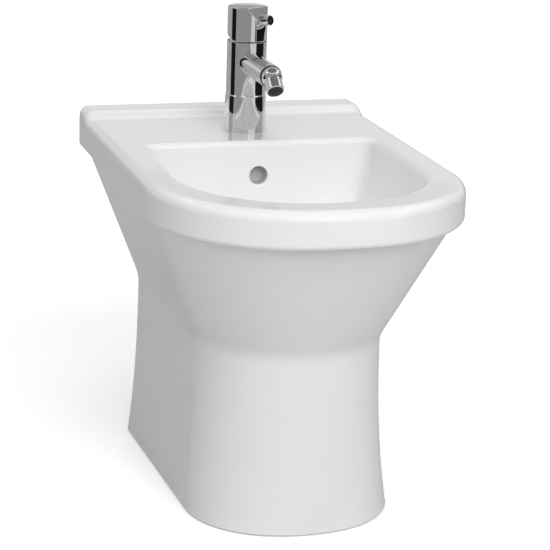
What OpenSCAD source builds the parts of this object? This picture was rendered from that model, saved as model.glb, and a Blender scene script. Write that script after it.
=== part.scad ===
// Floor standing bidet in vitreous china, with a single lever tap and a push waste.
// Millimetres. The floor is z = 0 and the front is -Y. The wall is the plane y = body_d / 2,
// so the origin lies on the floor under the middle of the ceramic.

/* [Rim and deck] */
// Overall width of the ceramic
body_w = 360; // [340:1:400]
// Overall depth, from the wall to the front of the rim
body_d = 540; // [520:1:600]
// Height of the rim above the floor
rim_h = 400; // [385:1:430]
// Height of the upright band round the rim
band_h = 42; // [32:1:55]
// Radius of the rim's front arc
rim_front_r = 363; // [300:1:500]
// Radius of the rim's front corners
rim_corner_r = 158; // [120:1:165]
// Radius of the rim's rear corners
rim_rear_r = 10; // [5:1:20]
// Rounding of the rim's outer upper edge
rim_edge_r = 12; // [6:1:15]
// Rounding of the band's lower edge
band_edge_r = 6; // [3:1:7]
// Height of the ledge along the wall
ledge_h = 9; // [4:1:14]
// Depth of the ledge's flat top
ledge_d = 32; // [18:1:40]
// Depth of the cove in front of the ledge
ledge_run = 28; // [18:1:32]
// Thickness of the deck
deck_t = 14; // [12:1:18]

/* [Bowl and pedestal] */
// Set back of the bowl's front half under the band
bowl_inset = 7; // [7:1:12]
// Set back of the bowl's rear end under the band
bowl_rear_inset = 10; // [8:1:14]
// Set back of the bowl's front under the band
bowl_front_inset = 20; // [10:1:30]
// Radius of the front arc at the top of the bowl
bowl_front_r = 350; // [300:1:450]
// Radius of the front corners at the top of the bowl
bowl_corner_r = 143; // [110:1:155]
// Height of the neck, where the bowl meets the pedestal
neck_h = 207; // [195:1:220]
// Half the height over which the neck is blended
neck_blend = 9; // [4:1:16]
// Width of the neck's front half
neck_w = 220; // [210:1:235]
// Width of the neck at its rear end
neck_rear_w = 234; // [225:1:245]
// Depth of the neck
neck_d = 366; // [350:1:378]
// Width of the foot's front half
foot_w = 241; // [232:1:260]
// Width of the foot at its rear end
foot_rear_w = 257; // [248:1:275]
// Depth of the foot
foot_d = 381; // [370:1:395]
// Radius of the foot's front arc
foot_front_r = 160; // [145:1:200]
// Radius of the foot's front corners
foot_corner_r = 104; // [80:1:110]
// Radius of the pedestal's rear corners
pedestal_rear_r = 8; // [4:1:12]
// How late the pedestal flares out towards the floor
foot_flare = 2.3; // [1.6:0.1:3]
// Bevel round the foot
foot_edge = 3; // [1:0.5:5]
// Distance from the wall to the back of the pedestal
pedestal_setback = 68; // [50:1:78]
// Thickness of the ceramic walls
wall_t = 12; // [9:1:14]
// Width of the opening at the back, at the floor
opening_w = 192; // [150:1:200]
// Width of the opening at the back, under the deck
opening_top_w = 280; // [240:1:296]

/* [Basin] */
// Width of the rim at the sides
rim_side_w = 40; // [34:1:46]
// Width of the rim at the front
rim_front_w = 46; // [40:1:56]
// Depth of the deck, from the wall to the basin
deck_d = 197; // [190:1:210]
// Depth of the basin below the rim
basin_depth = 138; // [125:1:145]
// Radius of the basin's front arc
basin_front_r = 229; // [200:1:300]
// Radius of the basin's front corners
basin_corner_r = 130; // [100:1:132]
// Radius of the basin's rear corners
basin_rear_r = 30; // [20:1:45]
// Rounding of the basin's upper edge
basin_edge_r = 7; // [4:1:9]
// How square the basin's section is
basin_square = 2.4; // [2:0.1:3]
// Fall of the basin's floor towards the waste
basin_fall = 10; // [6:1:14]
// Diameter of the flat seat round the waste
seat_d = 72; // [68:1:80]
// Thickness of the ceramic at the waste
seat_t = 28; // [26:1:30]
// Distance from the wall to the waste
waste_setback = 300; // [290:1:315]
// Diameter of the waste hole
waste_hole_d = 46; // [45:0.5:48]
// Diameter of the overflow hole
overflow_d = 20; // [16:1:22]
// Depth of the overflow hole's centre below the rim
overflow_drop = 39; // [34:1:46]
// Diameter of the overflow's channel
channel_d = 14; // [10:1:15]

/* [Fixing to the floor] */
// Distance between the two floor holes
floor_holes = 180; // [170:1:188]
// Diameter of the floor holes
floor_hole_d = 11; // [8:0.5:13]
// Height of the lugs that the floor screws hold
lug_h = 14; // [10:1:20]
// Distance from the pedestal's back to the floor holes
lug_setback = 45; // [38:1:60]

/* [Tap body] */
// Distance from the wall to the tap's axis
tap_setback = 131; // [122:1:140]
// Diameter of the tap hole in the deck
tap_hole_d = 35; // [33:0.5:37]
// Diameter of the tap's body
tap_d = 48; // [47:0.5:52]
// Diameter of the tap's base
tap_base_d = 52; // [50:0.5:60]
// Height of the tap's body above the deck
tap_h = 109.5; // [105:0.5:120]
// Height of the flare at the tap's base
tap_flare_h = 12; // [6:1:16]
// Height of the spout's axis above the deck
spout_h = 85; // [80:0.5:89]
// Diameter of the spout
spout_d = 28; // [27:0.5:30]
// Distance from the tap's axis to the ball joint
spout_reach = 110; // [95:1:130]
// Diameter of the cartridge
cartridge_d = 35; // [34:0.5:36]
// Depth of the cartridge's pocket
pocket_depth = 33.5; // [31:0.5:36]
// Distance between the hot and cold inlets
inlet_gap = 18; // [16:0.5:19]
// Diameter of the inlets' threaded holes
inlet_d = 9; // [8:0.5:9.5]
// Depth of the inlets' threads
inlet_depth = 12; // [8:1:16]
// Diameter of the fixing stud
stud_d = 8; // [6:0.5:8.5]
// Length of the fixing stud below the deck's top
stud_drop = 80; // [60:1:100]

/* [Handle] */
// Height of the handle's head
head_h = 42; // [36:1:50]
// Angle of the lever from the front, towards +X
lever_turn = 30; // [-40:1:40]
// Height of the lifting axis below the top of the tap's body
pivot_drop = 7.5; // [6:0.5:9]
// How far the lever lifts
lift_angle = 20; // [10:1:22]
// Radius of the hollow under the head
hollow_r = 23.2; // [22.8:0.1:23.5]
// Tilt of the facet that carries the lever pin
facet_tilt = 20; // [12:1:28]
// Height of the facet's lower end above the body
facet_drop = 20; // [16:1:24]
// Diameter of the lever pin
pin_d = 12.5; // [9:0.5:14]
// Length of the lever pin outside the head
pin_len = 20; // [12:1:40]
// Rise of the lever pin from the level
pin_rise = 12; // [5:1:20]
// Side of the square stem
stem_side = 8; // [6:0.5:9]

/* [Ball joint nozzle] */
// Diameter of the ball
ball_d = 17; // [15:0.5:17.5]
// Angle of the ball's neck below the spout's axis
neck_angle = 30; // [25:1:35]
// Angle of the nozzle below the level
nozzle_angle = 41; // [34:1:44]
// Diameter of the nozzle's cylinder
nozzle_d = 21; // [20:0.5:21.5]
// Diameter of the nozzle's round back
cup_d = 24.8; // [24:0.1:25]
// Distance from the ball's centre to the outlet
nozzle_len = 21.2; // [20:0.2:26]

/* [Waste] */
// Diameter of the waste's flange
flange_d = 63; // [58:1:66]
// Diameter of the waste's thread
waste_thread_d = 41.9; // [40:0.1:42.4]
// Bore of the waste
waste_bore_d = 34; // [30:1:36]
// Length of the waste below the basin's floor
waste_len = 80; // [70:1:100]
// Diameter of the plug's cap
cap_d = 58; // [52:1:60]
// Height of the plug's travel
plug_travel = 8; // [5:1:10]

/* [Hidden] */

round_fn = 72;      // facets of a full circle in the preview
gap = 0.1;          // clearance of pieces that slide in one another
fit_gap = 0.05;     // clearance of a shaft in its bore
over = 1;           // how far a cut runs past the face that it opens

china = [0.93, 0.93, 0.92];
chrome = [0.78, 0.79, 0.81];
brass = [0.78, 0.66, 0.38];
steel = [0.62, 0.63, 0.65];
black_rubber = [0.10, 0.10, 0.11];
white_plastic = [0.88, 0.88, 0.86];
dark_plastic = [0.16, 0.16, 0.17];
red_plastic = [0.72, 0.12, 0.12];

wall_y = body_d / 2;
front_y = -body_d / 2;
pedestal_y = wall_y - pedestal_setback;
tap_y = wall_y - tap_setback;
waste_y = wall_y - waste_setback;
band_z = rim_h - band_h;
floor_z = rim_h - basin_depth;
seat_under_z = floor_z - seat_t;
deck_under_z = rim_h - deck_t;
cavity_front_y = wall_y - deck_d + wall_t;

// ---- outlines -------------------------------------------------------------
// An outline is [rear half width, front half width, front y, rear y,
// front arc radius, front corner radius, rear corner radius].
rim_form = [body_w / 2, body_w / 2, front_y, wall_y, rim_front_r, rim_corner_r, rim_rear_r];
bowl_form = [body_w / 2 - bowl_rear_inset, body_w / 2 - bowl_inset, front_y + bowl_front_inset,
  wall_y, bowl_front_r, bowl_corner_r, rim_rear_r];
neck_round = 60;     // how much larger the radius of the neck's front arc is than its half width
neck_flat = 1;       // how much smaller the radius of the neck's front corners is
neck_form = [neck_rear_w / 2, neck_w / 2, pedestal_y - neck_d, pedestal_y,
  neck_w / 2 + neck_round, neck_w / 2 - neck_flat, pedestal_rear_r];
foot_form = [foot_rear_w / 2, foot_w / 2, pedestal_y - foot_d, pedestal_y,
  foot_front_r, foot_corner_r, pedestal_rear_r];
basin_form = [body_w / 2 - rim_side_w, body_w / 2 - rim_side_w, front_y + rim_front_w,
  wall_y - deck_d, basin_front_r, basin_corner_r, basin_rear_r];

// Points along each stretch of half an outline
rear_n = 5;
rear_corner_n = 3;
side_far_n = 3;
corner_n = 11;
front_n = 6;
cove_n = 5;
near_step = 4;       // least distance between the points along the rear end of a side
// Distances from the wall of the lines along the cove, from the deck to the ledge
cove_lines = [for (k = [0:cove_n]) ledge_d + ledge_run * (1 - k / cove_n)];
// A side has a point on each of these lines, so that the ledge ends in straight edges there
near_lines = concat([ledge_d / 2], [for (k = [cove_n:-1:0]) cove_lines[k]],
  [ledge_d + ledge_run + 4 * near_step]);

// Moves the sides and front of an outline inwards by d, and its rear by e
function inset(f, d, e) = [f[0] - d, f[1] - d, f[2] + d, f[3] - e, f[4] - d, f[5] - d,
  max(f[6] - d, 1)];

function arc(x, y, r, from, to, n) =
  [for (i = [1:n]) let (a = from + (to - from) * i / n) [x + r * cos(a), y + r * sin(a)]];

function half_outline(f) =
  let (front_cy = f[2] + f[4],
    corner_x = f[1] - f[5],
    corner_y = front_cy - sqrt(pow(f[4] - f[5], 2) - pow(corner_x, 2)),
    turn = atan2(corner_y - front_cy, corner_x),
    side_y = f[3] - f[6],
    near = [for (i = [0:len(near_lines) - 1]) min(side_y - near_step * (i + 1), wall_y - near_lines[i])],
    last = near[len(near) - 1],
    far = [for (i = [1:side_far_n]) last + (corner_y - last) * i / side_far_n])
  concat(
    [for (i = [0:rear_n]) [(f[0] - f[6]) * i / rear_n, f[3]]],
    arc(f[0] - f[6], side_y, f[6], 90, 0, rear_corner_n),
    [for (y = concat(near, far)) [f[0] + (f[1] - f[0]) * (side_y - y) / (side_y - corner_y), y]],
    arc(corner_x, corner_y, f[5], 0, turn, corner_n),
    arc(0, front_cy, f[4], turn, -90, front_n));

function outline(f) =
  let (h = half_outline(f), n = len(h))
  concat(h, [for (i = [n - 2:-1:1]) [-h[i].x, h[i].y]]);

function at_z(points, z) = [for (p = points) [p.x, p.y, z]];
function mix(a, b, t) = [for (i = [0:len(a) - 1]) a[i] * (1 - t) + b[i] * t];
function bend(a, b, c, t) = mix(mix(a, b, t), mix(b, c, t), t);

// ---- rim and deck ---------------------------------------------------------
// Height of the ledge over the deck: a smooth cove that ends in a flat top
function ledge(y) =
  let (u = min(max((y - wall_y + ledge_d + ledge_run) / ledge_run, 0), 1))
  ledge_h * u * u * (3 - 2 * u);
function on_deck(points, dz) = [for (p = points) [p.x, p.y, rim_h + ledge(p.y) + dz]];

rear_share = 0.3;   // the edges along the wall are rounded less than the others
edge_n = 4;
function rim_edge(a) = on_deck(outline(inset(rim_form, rim_edge_r * (1 - sin(a)),
  rear_share * rim_edge_r * (1 - sin(a)))), -rim_edge_r * (1 - cos(a)));
function band_edge(a) = at_z(outline(inset(rim_form, band_edge_r * (1 - cos(a)),
  rear_share * band_edge_r * (1 - cos(a)))), band_z + band_edge_r * (1 - sin(a)));

// The deck's rings run along the wall at these distances, with sharp rear corners
deck_lines = concat([(deck_d + ledge_d + ledge_run) / 2], cove_lines, [ledge_d / 2]);
deck_inner = inset(basin_form, -basin_edge_r, -basin_edge_r);
deck_outer = inset(rim_form, rim_edge_r, rear_share * rim_edge_r);
deck_span = deck_d - basin_edge_r - rear_share * rim_edge_r;
deck_corner_r = 1;
function deck_form(t) = let (f = mix(deck_inner, deck_outer, t))
  [f[0], f[1], f[2], f[3], f[4], f[5], deck_corner_r];
function deck_ring(distance) =
  on_deck(outline(deck_form((deck_d - basin_edge_r - distance) / deck_span)), 0);

// ---- basin ----------------------------------------------------------------
basin_top = outline(basin_form);
basin_wall_h = basin_depth - basin_edge_r;
seat_ring = [for (p = basin_top)
  let (d = [p.x, p.y - waste_y]) [0, waste_y] + d * (seat_d / 2) / norm(d)];
// Height over the floor at share h of the way from the waste's seat to the wall
function basin_rise(h) =
  let (v = 1 - pow(max(1 - pow(h, basin_square), 0), 1 / basin_square))
  (basin_wall_h - basin_fall) * v + basin_fall * h;
function basin_ring(h, down) = at_z(mix(seat_ring, basin_top, h), floor_z + basin_rise(h) - down);
function basin_edge(a) = at_z(outline(inset(basin_form, -basin_edge_r * (1 - cos(a)),
  -basin_edge_r * (1 - cos(a)))), rim_h - basin_edge_r * (1 - sin(a)));
basin_n = 9;
basin_shares = [for (i = [0:basin_n]) pow(sin(90 * i / basin_n), 2 / basin_square)];

// ---- bowl and pedestal ----------------------------------------------------
// t runs from 0 at the band to 1 at the neck
function bowl_ring(t, thick) = mix(
  at_z(outline(inset(bowl_form, thick, thick)), band_z),
  at_z(outline(inset(neck_form, thick, thick)), neck_h), t);
// t runs from 0 at the neck to 1 at the floor
function pedestal_ring(t, thick) = at_z(mix(
  outline(inset(neck_form, thick, thick)),
  outline(inset(foot_form, thick, thick)), pow(t, foot_flare)), neck_h * (1 - t));
neck_above = bowl_ring(1 - neck_blend / (band_z - neck_h), 0);
neck_below = pedestal_ring(neck_blend / neck_h, 0);
neck_n = 4;
pedestal_n = 6;
first_t = neck_blend / neck_h;
last_t = 1 - foot_edge / neck_h;

// ---- hollow underneath ----------------------------------------------------
ceiling_share = 0.6;  // where the hollow's ceiling meets its wall under the bowl
corner_t = (band_z - floor_z) / (band_z - neck_h);
function ceiling_ring(h) = basin_ring(h, seat_t - (seat_t - wall_t) * h / ceiling_share);

shell_rings = concat(
  [for (h = basin_shares) basin_ring(h, 0)],
  [for (i = [1:edge_n]) basin_edge(90 * i / edge_n)],
  [for (d = deck_lines) deck_ring(d)],
  [for (i = [0:edge_n]) rim_edge(90 * i / edge_n)],
  [for (i = [0:3]) band_edge(30 * i)],
  [bowl_ring(0, 0), bowl_ring(0.45, 0)],
  [for (i = [0:neck_n]) bend(neck_above, at_z(outline(neck_form), neck_h), neck_below, i / neck_n)],
  [for (i = [1:pedestal_n]) pedestal_ring(first_t + (last_t - first_t) * i / pedestal_n, 0)],
  [pedestal_ring(1, foot_edge), pedestal_ring(1, wall_t)],
  [for (t = [0.7, 0.4, 0]) pedestal_ring(t, wall_t)],
  [bowl_ring(corner_t, wall_t)],
  [for (h = [ceiling_share, 0.4, 0.2, 0]) ceiling_ring(h)]);

// A closed solid through rings of equally many points
module skin(rings) {
  n = len(rings[0]);
  last = len(rings) - 1;
  polyhedron(
    points = [for (r = rings, p = r) p],
    faces = concat(
      [[for (i = [0:n - 1]) i]],
      [for (k = [0:last - 1], i = [0:n - 1]) let (j = (i + 1) % n)
        [k * n + i, (k + 1) * n + i, (k + 1) * n + j, k * n + j]],
      [[for (i = [n - 1:-1:0]) last * n + i]]),
    convexity = 12);
}

// The opening at the back, seen from the wall
bevel = 18;
skirt_h = 15;         // height of the closed skirt under the band at the wall
opening_z = band_z - skirt_h;
module back_opening() {
  along_y(cavity_front_y, wall_y + over) polygon([
    [-opening_w / 2, -over], [opening_w / 2, -over],
    [opening_w / 2, neck_h + 5], [opening_top_w / 2, opening_z - bevel],
    [opening_top_w / 2 - bevel, opening_z], [bevel - opening_top_w / 2, opening_z],
    [-opening_top_w / 2, opening_z - bevel], [-opening_w / 2, neck_h + 5]]);
}
// The hollow under the deck, above the opening
pocket_inset = 6;
module deck_hollow() {
  w = opening_top_w - 2 * bevel - pocket_inset;
  y0 = cavity_front_y + pocket_inset;
  translate([-w / 2, y0, opening_z - bevel])
    cube([w, wall_y - wall_t - y0, deck_under_z - opening_z + bevel]);
}
// Extrudes a profile drawn in X and Z from y0 to y1
module along_y(y0, y1) {
  translate([0, y1, 0]) rotate([90, 0, 0]) linear_extrude(y1 - y0) children();
}

// The overflow's channel runs down behind the basin and forward under its floor
channel_wall = 6;
rib_step = 0.5;       // the ribs end this much above the seat's underside
channel_y = cavity_front_y + channel_d / 2 - 3;
channel_z = seat_under_z + channel_wall + channel_d / 2;
overflow_z = rim_h - overflow_drop;
module channel_ribs() {
  w = channel_d + 2 * channel_wall;
  back = channel_y + channel_d / 2 + channel_wall;
  translate([-w / 2, cavity_front_y - 3, seat_under_z + rib_step])
    cube([w, back - cavity_front_y + 3, overflow_z + 16 - seat_under_z]);
  translate([-w / 2, waste_y + seat_d / 2 - 6, seat_under_z + rib_step])
    cube([w, back - waste_y - seat_d / 2 + 6 - rib_step, seat_t - 2 * rib_step]);
}
module channel_bores() {
  translate([0, channel_y, channel_z]) cylinder(d = channel_d, h = overflow_z - channel_z, $fn = 32);
  translate([0, channel_y, channel_z]) rotate([90, 0, 0])
    cylinder(d = channel_d, h = channel_y - waste_y, $fn = 32);
  translate([0, channel_y, overflow_z]) rotate([90, 0, 0])
    cylinder(d = overflow_d, h = wall_t + 24, $fn = 40);
  translate([0, channel_y, overflow_z]) sphere(d = overflow_d, $fn = 40);
}

lug_w = 44;
lug_d = 50;
module lugs() {
  for (s = [-1, 1])
    translate([s * (foot_rear_w / 2 - wall_t + 3 - lug_w / 2) - lug_w / 2,
      pedestal_y - lug_setback - lug_d / 2, 0]) cube([lug_w, lug_d, lug_h]);
}

module ceramic_body() {
  color(china) difference() {
    union() {
      difference() {
        skin(shell_rings);
        back_opening();
        deck_hollow();
      }
      channel_ribs();
      lugs();
    }
    channel_bores();
    translate([0, tap_y, deck_under_z - over]) cylinder(d = tap_hole_d, h = deck_t + 2 * over, $fn = 64);
    translate([0, waste_y, seat_under_z - over]) cylinder(d = waste_hole_d, h = seat_t + 2 * over, $fn = 64);
    for (s = [-1, 1])
      translate([s * floor_holes / 2, pedestal_y - lug_setback, -over])
        cylinder(d = floor_hole_d, h = lug_h + 2 * over, $fn = 32);
  }
}

// ---- tap: body and fixing -------------------------------------------------
module at_tap() { translate([0, tap_y, rim_h]) children(); }

seal_groove = 1.7;
seal_w = 6;
seal_in_d = tap_hole_d - 3;
seal_out_d = tap_hole_d + 2 * seal_w;
nut_h = 6;
thread_t = 2.9;      // depth of the thread zone's wall over the cartridge's pocket
thread_d = cartridge_d + 2 * thread_t;
pocket_z = tap_h - pocket_depth;
cartridge_h = 24;
end_step = 4;        // the spout ends this far behind the ball's centre
end_seat_r = cup_d / 2 + 0.4;
inlet_y = 5;
stud_y = -10;
stud_bite = 13;
outlet_y = -9;
port_d = 6;
spout_bore_d = 12;
bore_start = 8;      // the spout's bore starts this far outside the body
elbow_z = 50;        // where the water turns into the spout
ball_neck_d = 8;
ball_neck_len = 18;

module tap_profile() {
  r = tap_d / 2;
  b = tap_base_d / 2;
  steps = 6;
  polygon(concat([[0, 0], [b, 0], [b, 2]],
    [for (i = [1:steps]) let (t = i / steps) [r + (b - r) * pow(1 - t, 2), 2 + (tap_flare_h - 2) * t]],
    [[r, tap_h - 0.6], [r - 0.6, tap_h], [0, tap_h]]));
}
// Places a piece of the ball joint: local +Z points away from the ball, this far below the level
module at_ball(angle) {
  translate([0, -spout_reach, spout_h]) rotate([90 + angle, 0, 0]) children();
}
module tap_body() {
  color(chrome) at_tap() difference() {
    union() {
      rotate_extrude($fn = round_fn) tap_profile();
      translate([0, 0, spout_h]) rotate([90, 0, 0])
        cylinder(d = spout_d, h = spout_reach - end_step, $fn = round_fn);
    }
    translate([0, 0, -over]) difference() {
      cylinder(d = seal_out_d, h = over + seal_groove, $fn = round_fn);
      translate([0, 0, -over]) cylinder(d = seal_in_d, h = seal_groove + 3 * over, $fn = round_fn);
    }
    translate([0, 0, pocket_z]) cylinder(d = cartridge_d + 2 * gap, h = pocket_depth + over, $fn = round_fn);
    translate([0, 0, pocket_z + cartridge_h])
      cylinder(d = thread_d, h = tap_h - pocket_z - cartridge_h + over, $fn = round_fn);
    for (s = [-1, 1]) translate([s * inlet_gap / 2, inlet_y, -over]) {
      cylinder(d = inlet_d, h = inlet_depth + over, $fn = 32);
      cylinder(d = port_d, h = pocket_z + 2 * over, $fn = 32);
    }
    translate([0, stud_y, -over]) cylinder(d = stud_d + 2 * fit_gap, h = stud_bite + over, $fn = 32);
    translate([0, outlet_y, elbow_z]) cylinder(d = port_d, h = pocket_z - elbow_z + over, $fn = 32);
    water_elbow();
    translate([0, -tap_d / 2 - bore_start, spout_h]) rotate([90, 0, 0])
      cylinder(d = spout_bore_d, h = spout_reach - tap_d / 2 - bore_start - ball_neck_len, $fn = 40);
    at_ball(0) sphere(r = end_seat_r, $fn = round_fn);
    at_ball(neck_angle) rotate([180, 0, 0])
      cylinder(d = ball_neck_d + 2 * fit_gap, h = ball_neck_len + 1, $fn = 32);
  }
}
// The sloping way from the outlet port up to the spout's bore
module water_elbow() {
  y0 = outlet_y + 2;
  y1 = -tap_d / 2 - bore_start - port_d;
  translate([0, y0, elbow_z]) rotate([atan2(y0 - y1, spout_h - elbow_z), 0, 0])
    cylinder(d = port_d + 2, h = norm([y0 - y1, spout_h - elbow_z]), $fn = 32);
}
module base_seal() {
  color(black_rubber) at_tap() difference() {
    cylinder(d = seal_out_d - 2 * gap, h = seal_groove, $fn = round_fn);
    translate([0, 0, -over]) cylinder(d = seal_in_d + 2 * gap, h = seal_groove + 2 * over, $fn = round_fn);
  }
}
module fixing_stud() {
  color(brass) at_tap() translate([0, stud_y, -stud_drop])
    cylinder(d = stud_d, h = stud_drop + stud_bite - 0.2, $fn = 32);
}
shoe_d = 48;
shoe_seal_t = 3;
shoe_plate_t = 2;
hose_room = 2;       // what the slot leaves round the hoses' ends
// A washer with a wide slot for the two supply hoses and a hole for the stud
module horseshoe(t) {
  difference() {
    cylinder(d = shoe_d, h = t, $fn = round_fn);
    w = inlet_gap + inlet_d + hose_room;
    translate([-w / 2, inlet_y - inlet_d / 2 - hose_room, -over]) cube([w, shoe_d, t + 2 * over]);
    translate([0, stud_y, -over]) cylinder(d = stud_d + 2 * gap, h = t + 2 * over, $fn = 32);
  }
}
module horseshoe_seal() {
  color(black_rubber) at_tap() translate([0, 0, -deck_t - shoe_seal_t]) horseshoe(shoe_seal_t);
}
module horseshoe_plate() {
  color(steel) at_tap() translate([0, 0, -deck_t - shoe_seal_t - shoe_plate_t]) horseshoe(shoe_plate_t);
}
nut_len = 14;
module fixing_nut() {
  color(brass) at_tap() translate([0, stud_y, -deck_t - shoe_seal_t - shoe_plate_t - nut_len])
    difference() {
      cylinder(d = stud_d + 7, h = nut_len, $fn = 6);
      translate([0, 0, -over]) cylinder(d = stud_d + 2 * fit_gap, h = nut_len + 2 * over, $fn = 32);
    }
}

// ---- tap: cartridge -------------------------------------------------------
pivot_z = tap_h - pivot_drop;
turret_d = 22;
turret_depth = 12;
turret_top = tap_h - 2.5;
turret_z = pocket_z + cartridge_h - turret_depth;
pivot_pin_d = 3;
slot_half = 7.5;
stem_low = 8;        // how far the stem reaches below its axis
stem_top = tap_h + 31;
module cartridge() {
  color(white_plastic) at_tap() difference() {
    translate([0, 0, pocket_z]) cylinder(d = cartridge_d, h = cartridge_h, $fn = round_fn);
    translate([0, 0, turret_z]) cylinder(d = turret_d + 2 * fit_gap, h = turret_depth + over, $fn = round_fn);
    for (s = [-1, 1]) translate([s * inlet_gap / 2, inlet_y, pocket_z - over])
      cylinder(d = port_d - 1, h = 8, $fn = 32);
    translate([0, outlet_y, pocket_z - over]) cylinder(d = port_d - 1, h = 8, $fn = 32);
  }
}
module cartridge_nut() {
  color(brass) at_tap() translate([0, 0, pocket_z + cartridge_h]) difference() {
    union() {
      cylinder(d = thread_d - 2 * fit_gap, h = nut_h / 2, $fn = round_fn);
      cylinder(d = thread_d - 3, h = nut_h, $fn = 6);
    }
    translate([0, 0, -over]) cylinder(d = turret_d + 5, h = nut_h + 2 * over, $fn = round_fn);
  }
}
// The domed ring that closes the top of the body under the tilting head
cover_step = 2.3;    // how far the ring reaches down into the body's thread
cover_gap = 0.6;     // clearance between the dome and the head's hollow
cover_t = 1.4;       // thickness of the dome
cover_lip = 0.6;     // height of the flat lip that joins the dome to its thread
ring_t = 2.4;        // thickness of the ring in the body's thread
stem_room = 1.2;     // clearance between the dome's opening and the lifted stem
module cover_ring() {
  outer = hollow_r - cover_gap;
  top_r = stem_side / sqrt(2) + outer * sin(lift_angle) + stem_room;
  inner_r = thread_d / 2 - ring_t;
  color(chrome) at_tap() translate([0, 0, pivot_z]) difference() {
    union() {
      difference() {
        intersection() {
          sphere(r = outer, $fn = round_fn);
          translate([0, 0, pivot_drop]) cylinder(r = outer, h = outer, $fn = round_fn);
        }
        sphere(r = outer - cover_t, $fn = round_fn);
      }
      translate([0, 0, pivot_drop - cover_step])
        cylinder(d = thread_d - 2 * fit_gap, h = cover_step + cover_lip, $fn = round_fn);
    }
    cylinder(r = inner_r, h = pivot_drop + cover_lip, $fn = round_fn);
    cylinder(r = top_r, h = outer, $fn = round_fn);
  }
}
// Turns with the lever: local +X points along the lever
module at_handle() { at_tap() rotate([0, 0, lever_turn - 90]) children(); }
module turret() {
  color(white_plastic) at_handle() difference() {
    translate([0, 0, turret_z + 0.1]) cylinder(d = turret_d, h = turret_top - turret_z - 0.1, $fn = round_fn);
    translate([-slot_half, -stem_side / 2 - gap, pivot_z - stem_low - 1])
      cube([2 * slot_half, stem_side + 2 * gap, tap_h]);
    translate([0, 0, pivot_z]) rotate([90, 0, 0])
      cylinder(d = pivot_pin_d + 2 * fit_gap, h = turret_d, center = true, $fn = 32);
  }
}
module pivot_pin() {
  color(steel) at_handle() translate([0, 0, pivot_z]) rotate([90, 0, 0])
    cylinder(d = pivot_pin_d, h = turret_d - 1, center = true, $fn = 32);
}

// ---- tap: handle ----------------------------------------------------------
seam = 0.5;          // gap between the body and the head
module stem() {
  color(steel) at_handle() difference() {
    translate([-stem_side / 2, -stem_side / 2, pivot_z - stem_low])
      cube([stem_side, stem_side, stem_top - pivot_z + stem_low]);
    translate([0, 0, pivot_z]) rotate([90, 0, 0])
      cylinder(d = pivot_pin_d + 2 * fit_gap, h = 2 * stem_side, center = true, $fn = 32);
  }
}
module head_profile() {
  r = tap_d / 2;
  top = tap_h + seam + head_h;
  polygon([[0, tap_h + seam], [r - 0.6, tap_h + seam], [r, tap_h + seam + 0.6], [r, top - 2.2],
    [r - 0.8, top - 1.2], [r - 2.5, top - 0.7], [0, top]]);
}
// Everything beyond the facet's plane
module beyond_facet() {
  translate([tap_d / 2, 0, tap_h + seam + facet_drop]) rotate([0, -facet_tilt, 0])
    translate([0, -tap_d, -tap_d]) cube([2 * tap_d, 2 * tap_d, 3 * tap_d]);
}
// Everything that the body would stop when the head tilts back
module below_lift() {
  translate([0, 0, pivot_z]) rotate([0, lift_angle, 0])
    translate([-tap_d, -tap_d, pivot_drop + seam - 2 * tap_d]) cube([2 * tap_d, 2 * tap_d, 2 * tap_d]);
}
facet_mid = 6;       // height of the pin's axis over the facet's lower end
module at_pin() {
  translate([tap_d / 2 - facet_mid * tan(facet_tilt), 0, tap_h + seam + facet_drop + facet_mid])
    rotate([0, 90 - pin_rise, 0]) children();
}
pin_thread_d = 6;
pin_bite = 9;
pin_root = 3;        // how far the pin starts behind its axis point, so that the facet cuts it all round
end_wall = 2.6;      // width of the rim round the dished end of the pin
end_recess = 0.8;
grub_z = tap_h + 23;
grub_d = 5;
grub_len = 9;
plug_d = 6.4;
plug_len = 3;
module handle_head() {
  color(chrome) at_handle() difference() {
    rotate_extrude($fn = round_fn) head_profile();
    translate([0, 0, pivot_z]) sphere(r = hollow_r, $fn = round_fn);
    below_lift();
    beyond_facet();
    translate([-stem_side / 2 - gap, -stem_side / 2 - gap, pivot_z])
      cube([stem_side + 2 * gap, stem_side + 2 * gap, stem_top - pivot_z + 0.5]);
    at_pin() translate([0, 0, -pin_bite]) cylinder(d = pin_thread_d, h = 3 * pin_bite, $fn = 32);
    translate([0, 0, grub_z]) rotate([0, -90, 0]) {
      cylinder(d = grub_d, h = tap_d, $fn = 32);
      translate([0, 0, tap_d / 2 - plug_len]) cylinder(d = plug_d, h = plug_len + over, $fn = 32);
    }
  }
}
module lever_pin() {
  r = pin_d / 2;
  end = pin_root + pin_len;
  color(chrome) at_handle() {
    intersection() {
      at_pin() translate([0, 0, -pin_root]) rotate_extrude($fn = 48)
        polygon([[0, 0], [r, 0], [r, end - 1], [r - 1, end], [r - end_wall, end],
          [r - end_wall, end - end_recess], [0, end - end_recess]]);
      beyond_facet();
    }
    at_pin() translate([0, 0, -pin_bite + 0.2])
      cylinder(d = pin_thread_d - 2 * fit_gap, h = pin_bite + 2, $fn = 32);
  }
}
module grub_screw() {
  color(steel) at_handle() translate([-stem_side / 2, 0, grub_z]) rotate([0, -90, 0]) difference() {
    cylinder(d = grub_d, h = grub_len, $fn = 32);
    translate([0, 0, grub_len - 3]) cylinder(d = 2.9, h = 3 + over, $fn = 6);
  }
}
module indicator_plug() {
  color(red_plastic) at_handle() intersection() {
    translate([-tap_d / 2 + plug_len, 0, grub_z]) rotate([0, -90, 0])
      cylinder(d = plug_d, h = plug_len + 1, $fn = 32);
    cylinder(d = tap_d, h = 2 * tap_h, $fn = round_fn);
  }
}

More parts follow.
